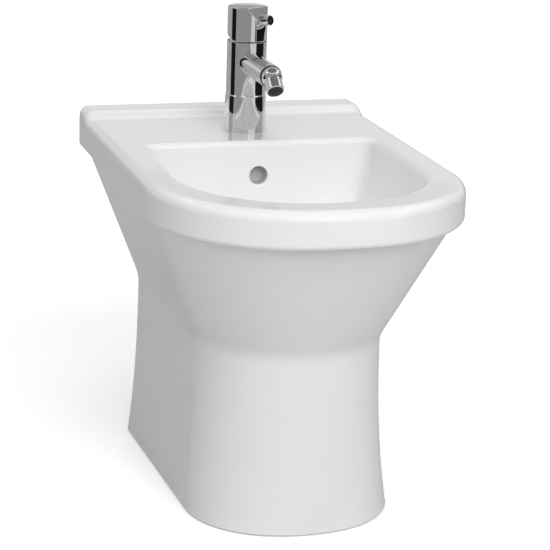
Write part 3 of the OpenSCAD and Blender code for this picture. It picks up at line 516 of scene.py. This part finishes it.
def ceramicRings(v):
    wall, pedestal = v["wall"], v["wall"] - v["pedestalSetback"]
    bandZ, floorZ = v["rim"] - v["band"], v["rim"] - v["basinDepth"]
    wasteY = wall - v["wasteSetback"]
    coveEnd = v["ledgeFlat"] + v["cove"]
    coveLines = [v["ledgeFlat"] + v["cove"] * i / 12 for i in range(13)]
    nearLines = [*v["nearLines"], *coveLines] + [coveEnd + d for d in v["pastCove"]]
    marks = {"rear": 16, "rearCorner": 8, "far": 26, "corner": 46, "front": 12, "least": v["leastGap"],
             "near": [wall - d for d in nearLines]}
    rim = Plan(v["halfWidth"], v["halfWidth"], v["front"], wall,
               v["rimFrontRadius"], v["rimCornerRadius"], v["rimRearRadius"])
    bowl = Plan(v["halfWidth"] - v["bowlRearInset"], v["halfWidth"] - v["bowlInset"],
                v["front"] + v["bowlFrontInset"], wall,
                v["bowlFrontRadius"], v["bowlCornerRadius"], v["rimRearRadius"])
    neck = Plan(v["neckRearHalf"], v["neckHalf"], pedestal - v["neckDepth"], pedestal,
                v["neckFrontRadius"], v["neckCornerRadius"], v["pedestalRearRadius"])
    foot = Plan(v["footRearHalf"], v["footHalf"], pedestal - v["footDepth"], pedestal,
                v["footFrontRadius"], v["footCornerRadius"], v["pedestalRearRadius"])
    basin = Plan(v["halfWidth"] - v["rimSide"], v["halfWidth"] - v["rimSide"], v["front"] + v["rimFront"],
                 wall - v["deckDepth"], v["basinFrontRadius"], v["basinCornerRadius"], v["basinRearRadius"])

    def ledge(y):
        u = min(max((y - wall + coveEnd) / v["cove"], 0), 1)
        return v["ledge"] * u * u * (3 - 2 * u)

    def level(plan, z):
        return [(x, y, z) for x, y in plan.points(marks)]

    def onDeck(plan, dz):
        return [(x, y, v["rim"] + ledge(y) + dz) for x, y in plan.points(marks)]

    basinTop = basin.points(marks)
    seatRing = []
    for x, y in basinTop:
        d = Vector((x, y - wasteY)).normalized() * v["seat"]
        seatRing.append((d.x, wasteY + d.y))
    wallHeight = v["basinDepth"] - v["basinEdge"]

    def basinRing(h, down=0.0):
        n = v["basinSquare"]
        share = 1 - max(1 - h ** n, 0) ** (1 / n)
        z = floorZ + (wallHeight - v["basinFall"]) * share + v["basinFall"] * h - down
        return [(x, y, z) for x, y in mixed(seatRing, basinTop, h)]

    def basinEdge(a):
        out = -v["basinEdge"] * (1 - math.cos(a))
        return level(basin.inset(out, out), v["rim"] - v["basinEdge"] * (1 - math.sin(a)))

    def rimEdge(a):
        d = v["rimEdge"] * (1 - math.sin(a))
        return onDeck(rim.inset(d, v["rearShare"] * d), -v["rimEdge"] * (1 - math.cos(a)))

    def bandEdge(a):
        d = v["bandEdge"] * (1 - math.cos(a))
        return level(rim.inset(d, v["rearShare"] * d), bandZ + v["bandEdge"] * (1 - math.sin(a)))

    # each deck ring runs along the wall at its own distance
    deckInner = basin.inset(-v["basinEdge"], -v["basinEdge"])
    deckOuter = rim.inset(v["rimEdge"], v["rearShare"] * v["rimEdge"])
    innerLine, outerLine = v["deckDepth"] - v["basinEdge"], v["rearShare"] * v["rimEdge"]

    def deckRing(distance):
        t = (innerLine - distance) / (innerLine - outerLine)
        radius = (v["basinRearRadius"] + v["basinEdge"]) * (1 - v["cornerFade"] * t)
        return onDeck(deckInner.mixed(deckOuter, t, max(leastRadius, radius)), 0)

    def bowlRing(t, thick=0.0):
        return mixed(level(bowl.inset(thick, thick), bandZ), level(neck.inset(thick, thick), v["neck"]), t)

    def pedestalRing(t, thick=0.0, up=0.0):
        plan = mixed(neck.inset(thick, thick).points(marks), foot.inset(thick, thick).points(marks),
                     t ** v["footFlare"])
        return [(x, y, v["neck"] * (1 - t) + up) for x, y in plan]

    glazed, bare = [], []
    glazed += [basinRing(math.sin(a) ** (2 / v["basinSquare"])) for a in quarter(40)]
    glazed += [basinEdge(a) for a in quarter(9)[1:]]
    deckLines = [innerLine - d for d in v["innerLines"]] + [*v["deckLines"], *coveLines[::-1]]
    deckLines += [*v["ledgeLines"], outerLine + v["outerGap"]]
    glazed += [deckRing(d) for d in deckLines]
    glazed += [rimEdge(a) for a in quarter(12)]
    glazed += [mixed(rimEdge(math.pi / 2), bandEdge(0), t) for t in v["bandMarks"]]
    glazed += [bandEdge(a) for a in quarter(8)]
    top, start = bowlRing(0), v["bowlShare"]
    under = mixed(bandEdge(math.pi / 2), top, v["underShare"])
    glazed += [bent(under, top, bowlRing(start), i / 6) for i in range(7)]
    blendShare = v["neckBlend"] / (bandZ - v["neck"])
    glazed += [bowlRing(start + (1 - blendShare - start) * i / 14) for i in range(1, 14)]
    firstShare, lastShare = v["neckBlend"] / v["neck"], 1 - v["footEdge"] / v["neck"]
    above, below = bowlRing(1 - blendShare), pedestalRing(firstShare)
    glazed += [bent(above, level(neck, v["neck"]), below, i / 12) for i in range(13)]
    glazed += [pedestalRing(firstShare + (lastShare - firstShare) * i / 24) for i in range(1, 25)]
    edge = v["footEdge"]
    glazed += [pedestalRing(1, edge * (1 - math.cos(a)), edge * (1 - math.sin(a))) for a in quarter(6)[1:]]
    bare += [pedestalRing(1, v["thick"])]
    bare += [pedestalRing(1 - i / 8, v["thick"]) for i in range(1, 9)]
    cornerShare = (bandZ - floorZ) / (bandZ - v["neck"])
    bare += [bowlRing(1 - (1 - cornerShare) * i / 5, v["thick"]) for i in range(1, 6)]
    for h in v["underMarks"]:
        thinner = (v["seatThick"] - v["thick"]) * h / v["underMarks"][0]
        bare.append(basinRing(h, v["seatThick"] - thinner))
    return glazed + bare, [0] * (len(glazed) - 1) + [1] * (len(bare) + 1)


def makeCeramic(v):
    wall, pedestal = v["wall"], v["wall"] - v["pedestalSetback"]
    bandZ, floorZ = v["rim"] - v["band"], v["rim"] - v["basinDepth"]
    seatUnder, deckUnder = floorZ - v["seatThick"], v["rim"] - v["deck"]
    wasteY, tapY = wall - v["wasteSetback"], wall - v["tapSetback"]
    # the third finish, the darker clay, is painted shade inside the overflow's channel
    coats = [finish["china"], finish["bisque"], finish["channel"]]
    rings, slots = ceramicRings(v)
    body = skin("ceramicBody", rings, coats, slots)

    # the open rear with its shoulders, and the hollow under the deck
    hollowFront, openTop = wall - v["deckDepth"] + v["thick"], bandZ - v["skirt"]
    half, top, cut = v["openingHalf"], v["openingTopHalf"], v["openingBevel"]
    shoulder, pocket = v["neck"] + v["shoulder"], top - cut - v["pocketInset"]
    opening = prism("opening", [(-half, -past), (half, -past), (half, shoulder), (top, openTop - cut),
                                (top - cut, openTop), (cut - top, openTop), (-top, openTop - cut),
                                (-half, shoulder)], hollowFront, wall + past, coats, 1)
    hollow = block("hollow", (-pocket, hollowFront + v["pocketStart"], openTop - cut),
                   (pocket, wall - v["thick"], deckUnder), coats, 1)
    carve(body, [opening, hollow])

    # a rib round the overflow's channel, and two lugs for the floor screws
    channelY = hollowFront + v["channel"] - v["channelSink"]
    channelZ = seatUnder + v["channelWall"] + v["channel"]
    overflowZ = v["rim"] - v["overflowDrop"]
    wide, back = v["channel"] + v["channelWall"], channelY + v["channel"] + v["channelWall"]
    inset, ribZ = v["ribInset"], seatUnder + v["ribInset"]
    upright = block("upright", (-wide, hollowFront - v["channelSink"], ribZ),
                    (wide, back, overflowZ + v["ribTop"]), coats, 1)
    lying = block("lying", (-wide, wasteY + v["seat"] - v["ribFront"], ribZ),
                  (wide, back - inset, floorZ - inset), coats, 1)
    lugX = v["footRearHalf"] - v["thick"] + v["lugSink"] - v["lugHalf"]
    lugY, deep = pedestal - v["lugSetback"], v["lugDeep"] / 2
    lugs = [block("lug", (s * lugX - v["lugHalf"], lugY - deep, 0),
                  (s * lugX + v["lugHalf"], lugY + deep, v["lugHigh"]), coats, 1) for s in (-1, 1)]
    carve(body, [upright, lying, together(lugs)], "UNION")

    # the channel's cut faces take the darker clay: painted shade in the overflow
    forward = Matrix.Rotation(math.pi / 2, 4, "X")
    holes = [place(rod("channelUp", v["channel"], channelZ, overflowZ, coats, 64, 2),
                   Matrix.Translation((0, channelY, 0))),
             place(rod("tapHole", v["tapHole"], deckUnder - past, v["rim"] + past, coats, 96, 0),
                   Matrix.Translation((0, tapY, 0))),
             place(rod("wasteHole", v["wasteHole"], seatUnder - past, floorZ + past, coats, 96, 1),
                   Matrix.Translation((0, wasteY, 0)))]
    holes += [place(rod("floorHole", v["floorHole"], -past, v["lugHigh"] + past, coats, 48, 1),
                    Matrix.Translation((s * v["floorHoles"], lugY, 0))) for s in (-1, 1)]
    along = place(rod("channelAlong", v["channel"], 0, channelY - wasteY, coats, 64, 2),
                  Matrix.Translation((0, channelY, channelZ)) @ forward)
    turning = place(ball("turning", v["overflowHole"], coats, 64, 2),
                    Matrix.Translation((0, channelY, overflowZ)))

    # the overflow's mouth widens like a trumpet at the basin's wall, whose place is found by halving
    n, reach = v["basinSquare"], v["basinDepth"] - v["basinEdge"] - v["basinFall"]
    low, high = 0.0, 1.0
    while high - low > 1e-6:
        h = (low + high) / 2
        rise = reach * (1 - (1 - h ** n) ** (1 / n)) + v["basinFall"] * h
        low, high = (h, high) if rise < v["basinDepth"] - v["overflowDrop"] else (low, h)
    mouthY = (wasteY + v["seat"]) * (1 - low) + (wall - v["deckDepth"]) * low
    lip, hole, away = v["overflowLip"], v["overflowHole"], channelY - mouthY
    wider, deep = hole + 2 * lip, v["mouthDeep"]
    profile = [(0, 0), (hole, 0)]
    profile += [(hole + lip * (1 - math.cos(a)), away - lip + lip * math.sin(a)) for a in quarter(8)]
    profile += [(wider, away + lip * v["lipReach"]), (wider, deep), (0, deep)]
    # inside its lip the mouth's bore takes the darker clay: painted shade in the overflow
    mouth = turned("mouth", profile, coats, 96, [2, 2] + [0] * (len(profile) - 3))      # glazed at its lip
    place(mouth, Matrix.Translation((0, channelY, overflowZ)) @ forward)
    carve(body, [together(holes), along, turning, mouth])
    dress(body, "bidet", ["ceramic_body"])


makeCeramic(china)
print("ceramic body made")


# the tap: its body with the spout, the head that turns and lifts, and the lever pin
tap = {
    "y": 0.139, "z": 0.400, "radius": 0.024, "base": 0.026, "baseHigh": 0.001, "height": 0.1095,
    "flare": 0.0443, "bead": 0.00075, "beadRise": 0.0013, "beadEdge": 0.0002, "bodyEdge": 0.0004,
    "spoutZ": 0.085, "spoutRadius": 0.014, "spoutEnd": 0.106, "spoutEdge": 0.0003,
    "reach": 0.110, "endSeat": 0.0137, "way": 0.00405, "wayLong": 0.019, "wayAngle": 30,
    "pocket": 0.0207, "pocketDeep": 0.0095, "glideInner": 0.0165, "glideDeep": 0.0005, "gapReach": 0.0231,
    "inlet": 0.0045, "inletDeep": 0.012, "inletX": 0.009, "inletY": 0.005,
    "stud": 0.00405, "studDeep": 0.013, "studY": -0.010, "groove": (0.016, 0.0235), "grooveDeep": 0.0017,
    "seam": 0.0012, "head": 0.0413, "leverTurn": 30, "pivotDrop": 0.0075, "lift": 20, "hollow": 0.0232,
    "facetTilt": 27, "facetDrop": 0.0258, "cutter": 0.1,
    "edge": 0.0007, "crownEdge": 0.0016, "crownRise": 0.0008, "crownInset": 1.1, "crownStep": 0.0001,
    "stemHalf": 0.0041, "stemTop": 0.141, "grubZ": 0.1325, "grubDeep": 0.02,
    "plugRadius": 0.0032, "plugLength": 0.003,
    "pinRadius": 0.00625, "pinLength": 0.014, "pinRise": 10, "pinWall": 0.0029, "pinRecess": 0.004,
    "pinRoot": -0.005, "pinEdge": 0.001, "pinSink": 0.0005, "pinReach": 0.06,
}
chrome = [finish["chrome"]]
atTap = Matrix.Translation((0, tap["y"], tap["z"]))
atHandle = atTap @ Matrix.Rotation(math.radians(tap["leverTurn"] - 90), 4, "Z")


def makeTapBody(v):
    r, b, top, bead = v["radius"], v["base"], v["height"], v["flare"]
    coats = [finish["chrome"], finish["rubber"]]
    body = turned("tapBody", rounded([
        (0, 0, 0), (b, 0, v["bodyEdge"]), (b, v["baseHigh"], 0), (r + v["bead"], bead, v["beadEdge"]),
        (r, bead + v["beadRise"], v["beadEdge"]), (r, top, v["bodyEdge"]), (0, top, 0)]), coats, 256)
    tubeRadius, end = v["spoutRadius"], v["spoutEnd"]
    tube = turned("spout", rounded([(0, 0, 0), (tubeRadius, 0, 0), (tubeRadius, end, v["spoutEdge"]),
                                    (0, end, 0)]), coats, 192)
    place(tube, Matrix.Translation((0, 0, v["spoutZ"])) @ Matrix.Rotation(math.pi / 2, 4, "X"))
    carve(body, [tube], "UNION")

    pocket = rod("pocket", v["pocket"], top - v["pocketDeep"], top + past, chrome, 96)
    atJoint = Matrix.Translation((0, -v["reach"], v["spoutZ"]))
    seat = place(ball("seat", v["endSeat"], coats, 96, 1), atJoint)
    way = place(rod("way", v["way"], 0, v["wayLong"], chrome, 48),
                atJoint @ Matrix.Rotation(math.radians(v["wayAngle"] - 90), 4, "X"))
    below = [place(rod("inlet", v["inlet"], -past, v["inletDeep"], chrome, 48),
                   Matrix.Translation((s * v["inletX"], v["inletY"], 0))) for s in (-1, 1)]
    below += [place(rod("stud", v["stud"], -past, v["studDeep"], chrome, 48),
                    Matrix.Translation((0, v["studY"], 0))),
              hoop("groove", *v["groove"], -past, v["grooveDeep"], chrome)]
    glide = hoop("glide", v["glideInner"], v["gapReach"], top - v["glideDeep"], top + past, coats, 128, 1)
    carve(body, [pocket, seat, way, together(below), glide])
    place(body, atTap)
    dress(body, "bidet", ["tap_body"])


makeTapBody(tap)


# a plain drum from a low mark up to the given top, with the slanted facet on its lever side
def slantedDrum(name, v, low, dome):
    head = turned(name, [(0, low), (v["radius"], low)] + dome, [finish["chrome"], finish["rubber"]], 256)
    wide = v["cutter"]
    beyond = block("beyond", (0, -wide, -wide / 2), (wide, wide, wide), chrome)
    place(beyond, Matrix.Translation((v["radius"], 0, v["height"] + v["seam"] + v["facetDrop"]))
          @ Matrix.Rotation(math.radians(-v["facetTilt"]), 4, "Y"))
    return carve(head, [beyond])


def makeHead(v):
    r, low, top = v["radius"], v["height"] + v["seam"], v["height"] + v["seam"] + v["head"]
    flat, rise = r - v["crownInset"] * v["crownEdge"], v["crownRise"]
    dome = [(flat * math.sqrt(1 - i / 10), top - rise + rise * i / 10, 0) for i in range(10)]
    side = [(0, low, 0), (r, low, 0), (r, top - rise - v["crownStep"], v["crownEdge"])]
    head = slantedDrum("tapHead", v, low, rounded(side + dome)[2:] + [(0, top)])

    # its underside rises towards the back, which leaves room to lift the lever
    pivot, wide = v["height"] - v["pivotDrop"], v["cutter"]
    behind = block("behind", (-wide, -wide, -wide), (wide, wide, v["pivotDrop"] + v["seam"]), chrome)
    place(behind, Matrix.Translation((0, 0, pivot)) @ Matrix.Rotation(math.radians(v["lift"]), 4, "Y"))
    carve(head, [behind])
    soften(head, v["edge"])

    coats, s = [finish["chrome"], finish["rubber"]], v["stemHalf"]
    glide = rod("glide", v["gapReach"], low - past, low + v["glideDeep"], coats, 128, 1)
    hollow = place(ball("hollow", v["hollow"], chrome, 128), Matrix.Translation((0, 0, pivot)))
    socket = block("socket", (-s, -s, pivot), (s, s, v["stemTop"]), chrome)
    atGrub = Matrix.Translation((-r + v["plugLength"], 0, v["grubZ"]))
    bore = place(rod("bore", v["plugRadius"], 0, v["grubDeep"], chrome, 64),
                 atGrub @ Matrix.Rotation(-math.pi / 2, 4, "Y"))
    carve(head, [glide, hollow, socket, bore])
    place(head, atHandle)
    dress(head, "handle", ["handle_head"])


makeHead(tap)


def makePin(v):
    r, root, length = v["pinRadius"], v["pinRoot"], v["pinLength"]
    coats = [finish["chrome"], finish["dark_plastic"]]
    pin = turned("leverPin", rounded([(0, root, 0), (r, root, 0), (r, length, v["pinEdge"]),
                                      (0, length, 0)]), coats, 128)
    # the recess's cut faces take the dark plastic: painted shade in the pin's end
    carve(pin, [rod("pinRecessShade", r - v["pinWall"], length - v["pinRecess"], length + past, coats, 96, 1)])
    base = v["height"] + v["seam"]
    place(pin, Matrix.Translation((v["radius"], 0, base + v["facetDrop"] - v["pinSink"]))
          @ Matrix.Rotation(math.radians(90 - v["pinRise"]), 4, "Y"))
    above = base + v["pinReach"]
    carve(pin, [slantedDrum("within", v, base, [(v["radius"], above), (0, above)])])
    place(pin, atHandle)
    dress(pin, "handle", ["lever_pin"])


makePin(tap)
print("tap made")


# the ball joint and the nozzle
nozzle = {
    "ball": 0.0085, "neckRadius": 0.004, "neckLength": 0.018, "neckAngle": 30, "angle": 41,
    "cup": 0.0124, "barrel": 0.0105, "cupLength": 0.010, "socket": 0.0086, "swing": 18,
    "clear": 0.0001, "lap": 0.0004, "lapIn": 0.0006, "lapEdge": 0.0003,
    "shell": 0.0107, "length": 0.0212, "bore": 0.0092, "edge": 0.0005,
    "thread": 0.00855, "threadStart": 0.007, "core": 0.006, "floor": 0.0015,
    "face": 0.0202, "faceEdge": 0.0003, "fit": 0.00005,
    "cell": 0.00135, "cellWall": 0.00032, "cellDeep": 0.0025, "cellMargin": 0.0013, "cellSpan": 7,
}


def atBall(angle):
    return (atTap @ Matrix.Translation((0, -tap["reach"], tap["spoutZ"]))
            @ Matrix.Rotation(math.radians(90 + angle), 4, "X"))


def sphereArc(radius, low, high, steps):
    a, b = math.asin(low / radius), math.asin(high / radius)
    return [(radius * math.cos(a + (b - a) * i / steps), radius * math.sin(a + (b - a) * i / steps))
            for i in range(steps + 1)]


def makeNozzle(v):
    joint = ball("spoutBall", v["ball"], chrome, 128)
    neck = rod("neck", v["neckRadius"], -v["neckLength"], 0, chrome, 64)
    carve(joint, [neck], "UNION")
    place(joint, atBall(v["neckAngle"]))
    dress(joint, "swivel", ["spout_ball"])

    # the cup's opening lets the neck swing both ways
    cup, barrel, socket, start = v["cup"], v["barrel"], v["socket"], v["cupLength"]
    swing, neckRadius = math.radians(v["swing"]), v["neckRadius"]
    near, far = [radius * math.sin(swing + math.asin(neckRadius / radius)) + v["clear"]
                 for radius in (socket, cup)]
    nearZ, farZ = -math.sqrt(socket ** 2 - near ** 2), -math.sqrt(cup ** 2 - far ** 2)
    joinZ, lapZ, lapRadius = math.sqrt(cup ** 2 - barrel ** 2), start - v["lap"], barrel - v["lapIn"]
    profile = sphereArc(cup, farZ, joinZ, 40)
    profile += rounded([(barrel, joinZ, 0), (barrel, lapZ, v["lapEdge"]), (lapRadius, lapZ, 0),
                        (lapRadius, start, 0), (socket, start, 0), (socket, v["clear"], 0)])[1:]
    profile += sphereArc(socket, nearZ, 0, 16)[::-1]
    cupPiece = turned("nozzleCup", profile, chrome, 192)
    place(cupPiece, atBall(v["angle"]))
    dress(cupPiece, "nozzle", ["nozzle_cup"], 28)

    outer, bore, end, edge = v["shell"], v["bore"], v["length"], v["edge"]
    thread, core, threadZ, floorZ = v["thread"], v["core"], v["threadStart"], start + v["floor"]
    shell = turned("nozzleShell", rounded([
        (thread, threadZ, 0), (thread, start, 0), (outer, start, edge), (outer, end, edge),
        (bore, end, edge), (bore, floorZ, 0), (core, floorZ, 0), (core, threadZ, 0)]), chrome, 192)
    place(shell, atBall(v["angle"]))
    dress(shell, "nozzle", ["nozzle_shell"])

    # a honeycomb of small cells behind the outlet
    plastic = [finish["dark_plastic"]]
    r, face = bore - v["fit"], v["face"]
    insert = turned("aeratorInsert", rounded([(0, floorZ, 0), (r, floorZ, 0), (r, face, v["faceEdge"]),
                                              (0, face, 0)]), plastic, 128)
    cells, pitch, span = [], v["cell"], range(-v["cellSpan"], v["cellSpan"] + 1)
    size = (pitch - v["cellWall"]) / math.sqrt(3)
    for row in span:
        for column in span:
            x = (column + (row % 2) / 2) * pitch
            y = row * pitch * math.sqrt(3) / 2
            if math.hypot(x, y) < r - v["cellMargin"]:
                points = [(x + size * math.sin(math.pi / 3 * k), y + size * math.cos(math.pi / 3 * k), z)
                          for z in (face - v["cellDeep"], face + past) for k in range(6)]
                faces = [(0, 1, 2, 3, 4, 5), (11, 10, 9, 8, 7, 6)]
                faces += [(k, (k + 1) % 6, (k + 1) % 6 + 6, k + 6) for k in range(6)]
                cells.append(newPiece("cell", points, faces, plastic))
    carve(insert, [together(cells)])
    place(insert, atBall(v["angle"]))
    dress(insert, "nozzle", ["aerator_insert"])


makeNozzle(nozzle)
print("nozzle made")


# the waste: its flange and slotted tail, and the cap of the push plug
waste = {
    "y": -0.030, "z": 0.262, "flange": 0.0315, "bore": 0.017, "thread": 0.02095, "length": 0.080,
    "relief": -0.046, "reliefHigh": 0.003, "reliefDeep": 0.001, "seal": 0.0015, "top": 0.004, "dish": 0.006,
    "tailEdge": 0.0005, "threadEdge": 0.0003, "rimSlope": 0.001, "rimHigh": 0.0008, "rimEdge": 0.0004,
    "dishEdge": 0.0008, "barZ": -0.007, "barHigh": 0.004, "barHalf": 0.0015, "barLap": 0.001,
    "barInset": 0.0003, "hub": 0.0055, "spindle": 0.003, "fit": 0.00005,
    "slotHalf": 0.007, "slotZ": -0.022, "slotHigh": 0.014,
    "cap": 0.029, "capZ": 0.0123, "capHigh": 0.006, "dome": 0.110, "domeInset": 0.0008,
    "capSlope": 0.001, "capLowEdge": 0.0004, "capEdge": 0.0006, "capStep": 0.0001,
}
atWaste = Matrix.Translation((0, waste["y"], waste["z"]))


def makeWaste(v):
    r, b, t, tail, seat, top = v["flange"], v["bore"], v["thread"], -v["length"], v["seal"], v["top"]
    relief, reliefLow, waist = v["relief"], v["relief"] - v["reliefHigh"], t - v["reliefDeep"]
    tailEdge, edge, dishEdge, slope = v["tailEdge"], v["threadEdge"], v["dishEdge"], v["rimSlope"]
    flange = turned("wasteFlange", rounded([
        (b, tail, tailEdge), (t, tail, tailEdge), (t, reliefLow, edge), (waist, reliefLow, 0),
        (waist, relief, 0), (t, relief, edge), (t, seat, edge), (r - slope, seat, edge),
        (r, seat + v["rimHigh"], v["rimEdge"]), (r - 2 * slope, top, dishEdge),
        (b + v["dish"], top, dishEdge), (b, seat, dishEdge)]), chrome, 192)

    # three bars carry the hub that the plug's stem slides in
    barLow, barTop = v["barZ"], v["barZ"] + v["barHigh"]
    half, lap, inset = v["barHalf"], v["barLap"], v["barInset"]
    hub = rod("hub", v["hub"], barLow, barTop, chrome, 64)
    low, high = (-half, v["hub"] - lap, barLow + inset), (half, b + 2 * lap, barTop - inset)
    bars = [place(block("bar", low, high, chrome), Matrix.Rotation(math.radians(a), 4, "Z"))
            for a in (0, 120, 240)]
    carve(hub, [together(bars)], "UNION")
    carve(hub, [rod("spindleHole", v["spindle"] + v["fit"], barLow - past, barTop + past, chrome, 48)])
    carve(flange, [hub], "UNION")
    low, high = (-v["slotHalf"], -r, v["slotZ"]), (v["slotHalf"], r, v["slotZ"] + v["slotHigh"])
    carve(flange, [place(block("slot", low, high, chrome), Matrix.Rotation(math.radians(a), 4, "Z"))
                   for a in (45, 135)])
    place(flange, atWaste)
    dress(flange, "bidet", ["waste_flange"])

    cap, low, high, slope, step = v["cap"], v["capZ"], v["capZ"] + v["capHigh"], v["capSlope"], v["capStep"]
    dome = []
    for i in range(25):
        x = (cap - v["domeInset"]) * (1 - i / 24)
        dome.append((x, high - v["dome"] + math.sqrt(v["dome"] ** 2 - x * x)))
    rimX, rimZ = dome[0]
    lid = turned("plugCap", rounded([
        (0, low, 0), (cap - slope, low, v["capLowEdge"]), (cap, low + slope, v["capEdge"]),
        (cap, rimZ - step, v["capEdge"]), (rimX - 4 * step, rimZ + step, 0)]) + dome[1:], chrome, 192)
    place(lid, atWaste)
    dress(lid, "plug", ["plug_cap"])


makeWaste(waste)
print("waste made")


# hidden hardware keeps its solids and gets its finish
hardware = {
    "base_seal": "rubber", "fixing_stud": "brass", "horseshoe_seal": "rubber", "horseshoe_plate": "steel",
    "fixing_nut": "brass", "cartridge": "white_plastic", "cartridge_nut": "brass", "cover_ring": "chrome",
    "turret": "white_plastic", "pivot_pin": "steel", "stem": "steel", "grub_screw": "steel",
    "indicator_plug": "red_plastic", "ball_seal": "rubber", "flange_seal": "rubber", "under_seal": "rubber",
    "back_nut": "brass", "plug_seal": "rubber", "plug_stem": "steel",
}
for name, kind in hardware.items():
    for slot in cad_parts[name].material_slots:
        slot.material = finish[kind]
print("hardware finished,", len(hardware))


# the studio: a pale floor, soft lamps, and cards that only mirrors see
studio = {
    "floor": 0.90, "floorBounce": 0.60, "floorGlow": (0.34, 0.68), "glowGrows": (0.5, 2.0),
    "floorHalf": 8, "floorZ": -0.0002, "ambient": 0.40, "lampSize": 1.8, "lampAim": (0, 0, 0.25),
    "lamps": {
        "key": {"from": (0.2, -2.7, 2.2), "power": 50},
        "side": {"from": (-1.5, -2.4, 1.8), "power": 9},
        "over": {"from": (0, -0.2, 2.8), "power": 14},
        "rear": {"from": (0.2, 2.6, 2.0), "power": 12, "mirrored": False},
    },
    # what the chrome mirrors: first and last direction from the tap in degrees, low and high edge, grey
    "cards": {
        "frontCard": (189, 276, 0.16, 0.80, 0.31),
        "whiteRight": (280, 308, 0.16, 0.80, 0.70),
        "blackRight": (310, 366, 0.16, 0.80, 0.01),
        "rightCard": (368, 382, 0.16, 0.80, 0.42),
        "blackLeft": (156, 187, 0.16, 0.80, 0.01),
        "upperLeft": (156, 189, 0.82, 1.27, 0.30),
        "upperFront": (190, 311, 0.82, 1.7, 0.30),
        "upperRight": (312, 382, 0.82, 1.27, 0.30),
        "backCard": (24, 153, 0.16, 0.50, 0.42),
        "middleCard": (24, 153, 0.50, 0.73, 0.65),
        "highCard": (24, 153, 0.73, 1.7, 0.40),
    },
    "cardDistance": 1.2, "cardStep": 4,
    "ceiling": {"height": 1.7, "radius": 0.95, "sides": 48, "grey": 0.18},
}


def newSheet(name, points, faces, material):
    mesh = bpy.data.meshes.new(name)
    mesh.from_pydata(points, [], faces)
    mesh.materials.append(material)
    sheet = bpy.data.objects.new(name, mesh)
    bpy.context.scene.collection.objects.link(sheet)
    return sheet


def makeFloor(v):
    material, board = newMaterial("studioFloor")
    matt = board.node("ShaderNodeBsdfDiffuse", {}, {"Color": (*[v["floor"]] * 3, 1)})
    # the floor glows a little more further out, so that it is white there and keeps the shadow here
    spot = board.node("ShaderNodeTexCoord", output="Object")
    away = board.node("ShaderNodeVectorMath", {"operation": "LENGTH"}, {0: spot}, "Value")
    near, far = [[grey] * 3 for grey in v["floorGlow"]]
    colour = board.tint(board.between(away, *v["glowGrows"]), near, far)
    light = board.node("ShaderNodeEmission", {}, {"Color": colour, "Strength": 1.0})
    both = board.node("ShaderNodeAddShader", {}, {0: matt, 1: light})
    bounce = board.node("ShaderNodeBsdfDiffuse", {}, {"Color": (*[v["floorBounce"]] * 3, 1)})
    seen = board.node("ShaderNodeLightPath", output="Is Camera Ray")
    mix = board.node("ShaderNodeMixShader", {}, {0: seen, 1: bounce, 2: both})
    board.node("ShaderNodeOutputMaterial", {}, {"Surface": mix})
    half, z = v["floorHalf"], v["floorZ"]
    points = [(x * half, y * half, z) for x, y in ((-1, -1), (1, -1), (1, 1), (-1, 1))]
    newSheet("studioFloor", points, [(0, 1, 2, 3)], material)


# seen only in mirrors, so it lights nothing and throws no shadow
def mirrorOnly(name, points, faces, grey):
    material, board = newMaterial(name)
    light = board.node("ShaderNodeEmission", {}, {"Color": (grey, grey, grey, 1), "Strength": 1.0})
    board.node("ShaderNodeOutputMaterial", {}, {"Surface": light})
    card = newSheet(name, points, faces, material)
    card.visible_camera = card.visible_diffuse = card.visible_shadow = False


def makeCard(name, card, distance, step):
    start, end, low, high, grey = card
    steps = max(2, round((end - start) / step))
    points, faces = [], []
    for i in range(steps + 1):
        a = math.radians(start + (end - start) * i / steps)
        x, y = distance * math.cos(a), tap["y"] + distance * math.sin(a)
        points += [(x, y, low), (x, y, high)]
        if i:
            faces.append((2 * i - 2, 2 * i, 2 * i + 1, 2 * i - 1))
    mirrorOnly(name, points, faces, grey)


def makeCeiling(v):
    r, sides = v["radius"], v["sides"]
    turns = [2 * math.pi * i / sides for i in range(sides)]
    points = [(r * math.cos(a), tap["y"] + r * math.sin(a), v["height"]) for a in turns]
    mirrorOnly("ceiling", points, [list(range(sides))], v["grey"])


def makeLamp(name, v, size, aim):
    data = bpy.data.lights.new(name, "AREA")
    data.shape = "RECTANGLE"
    data.size = data.size_y = size
    data.energy = v["power"]
    lamp = bpy.data.objects.new(name, data)
    bpy.context.scene.collection.objects.link(lamp)
    lamp.location = v["from"]
    lamp.rotation_euler = (Vector(aim) - Vector(v["from"])).to_track_quat("-Z", "Y").to_euler()
    lamp.visible_glossy = v.get("mirrored", True)


# white where the camera or a mirror looks at it, and dimmer as a light
def makeWorld(v):
    world = bpy.data.worlds.new("studioWorld")
    world.use_nodes = True
    board = Board(world.node_tree)
    direct = board.node("ShaderNodeLightPath", output="Is Camera Ray")
    glossy = board.node("ShaderNodeLightPath", output="Is Glossy Ray")
    seen = board.node("ShaderNodeMath", {"operation": "MAXIMUM"}, {0: direct, 1: glossy})
    strength = seen + (1 - seen) * v["ambient"]
    sky = board.node("ShaderNodeBackground", {}, {"Color": (1, 1, 1, 1), "Strength": strength})
    board.node("ShaderNodeOutputWorld", {}, {"Surface": sky})
    bpy.context.scene.world = world


makeFloor(studio)
for name, card in studio["cards"].items():
    makeCard(name, card, studio["cardDistance"], studio["cardStep"])
makeCeiling(studio["ceiling"])
for name, values in studio["lamps"].items():
    makeLamp(name, values, studio["lampSize"], studio["lampAim"])
makeWorld(studio)
print("studio lit")
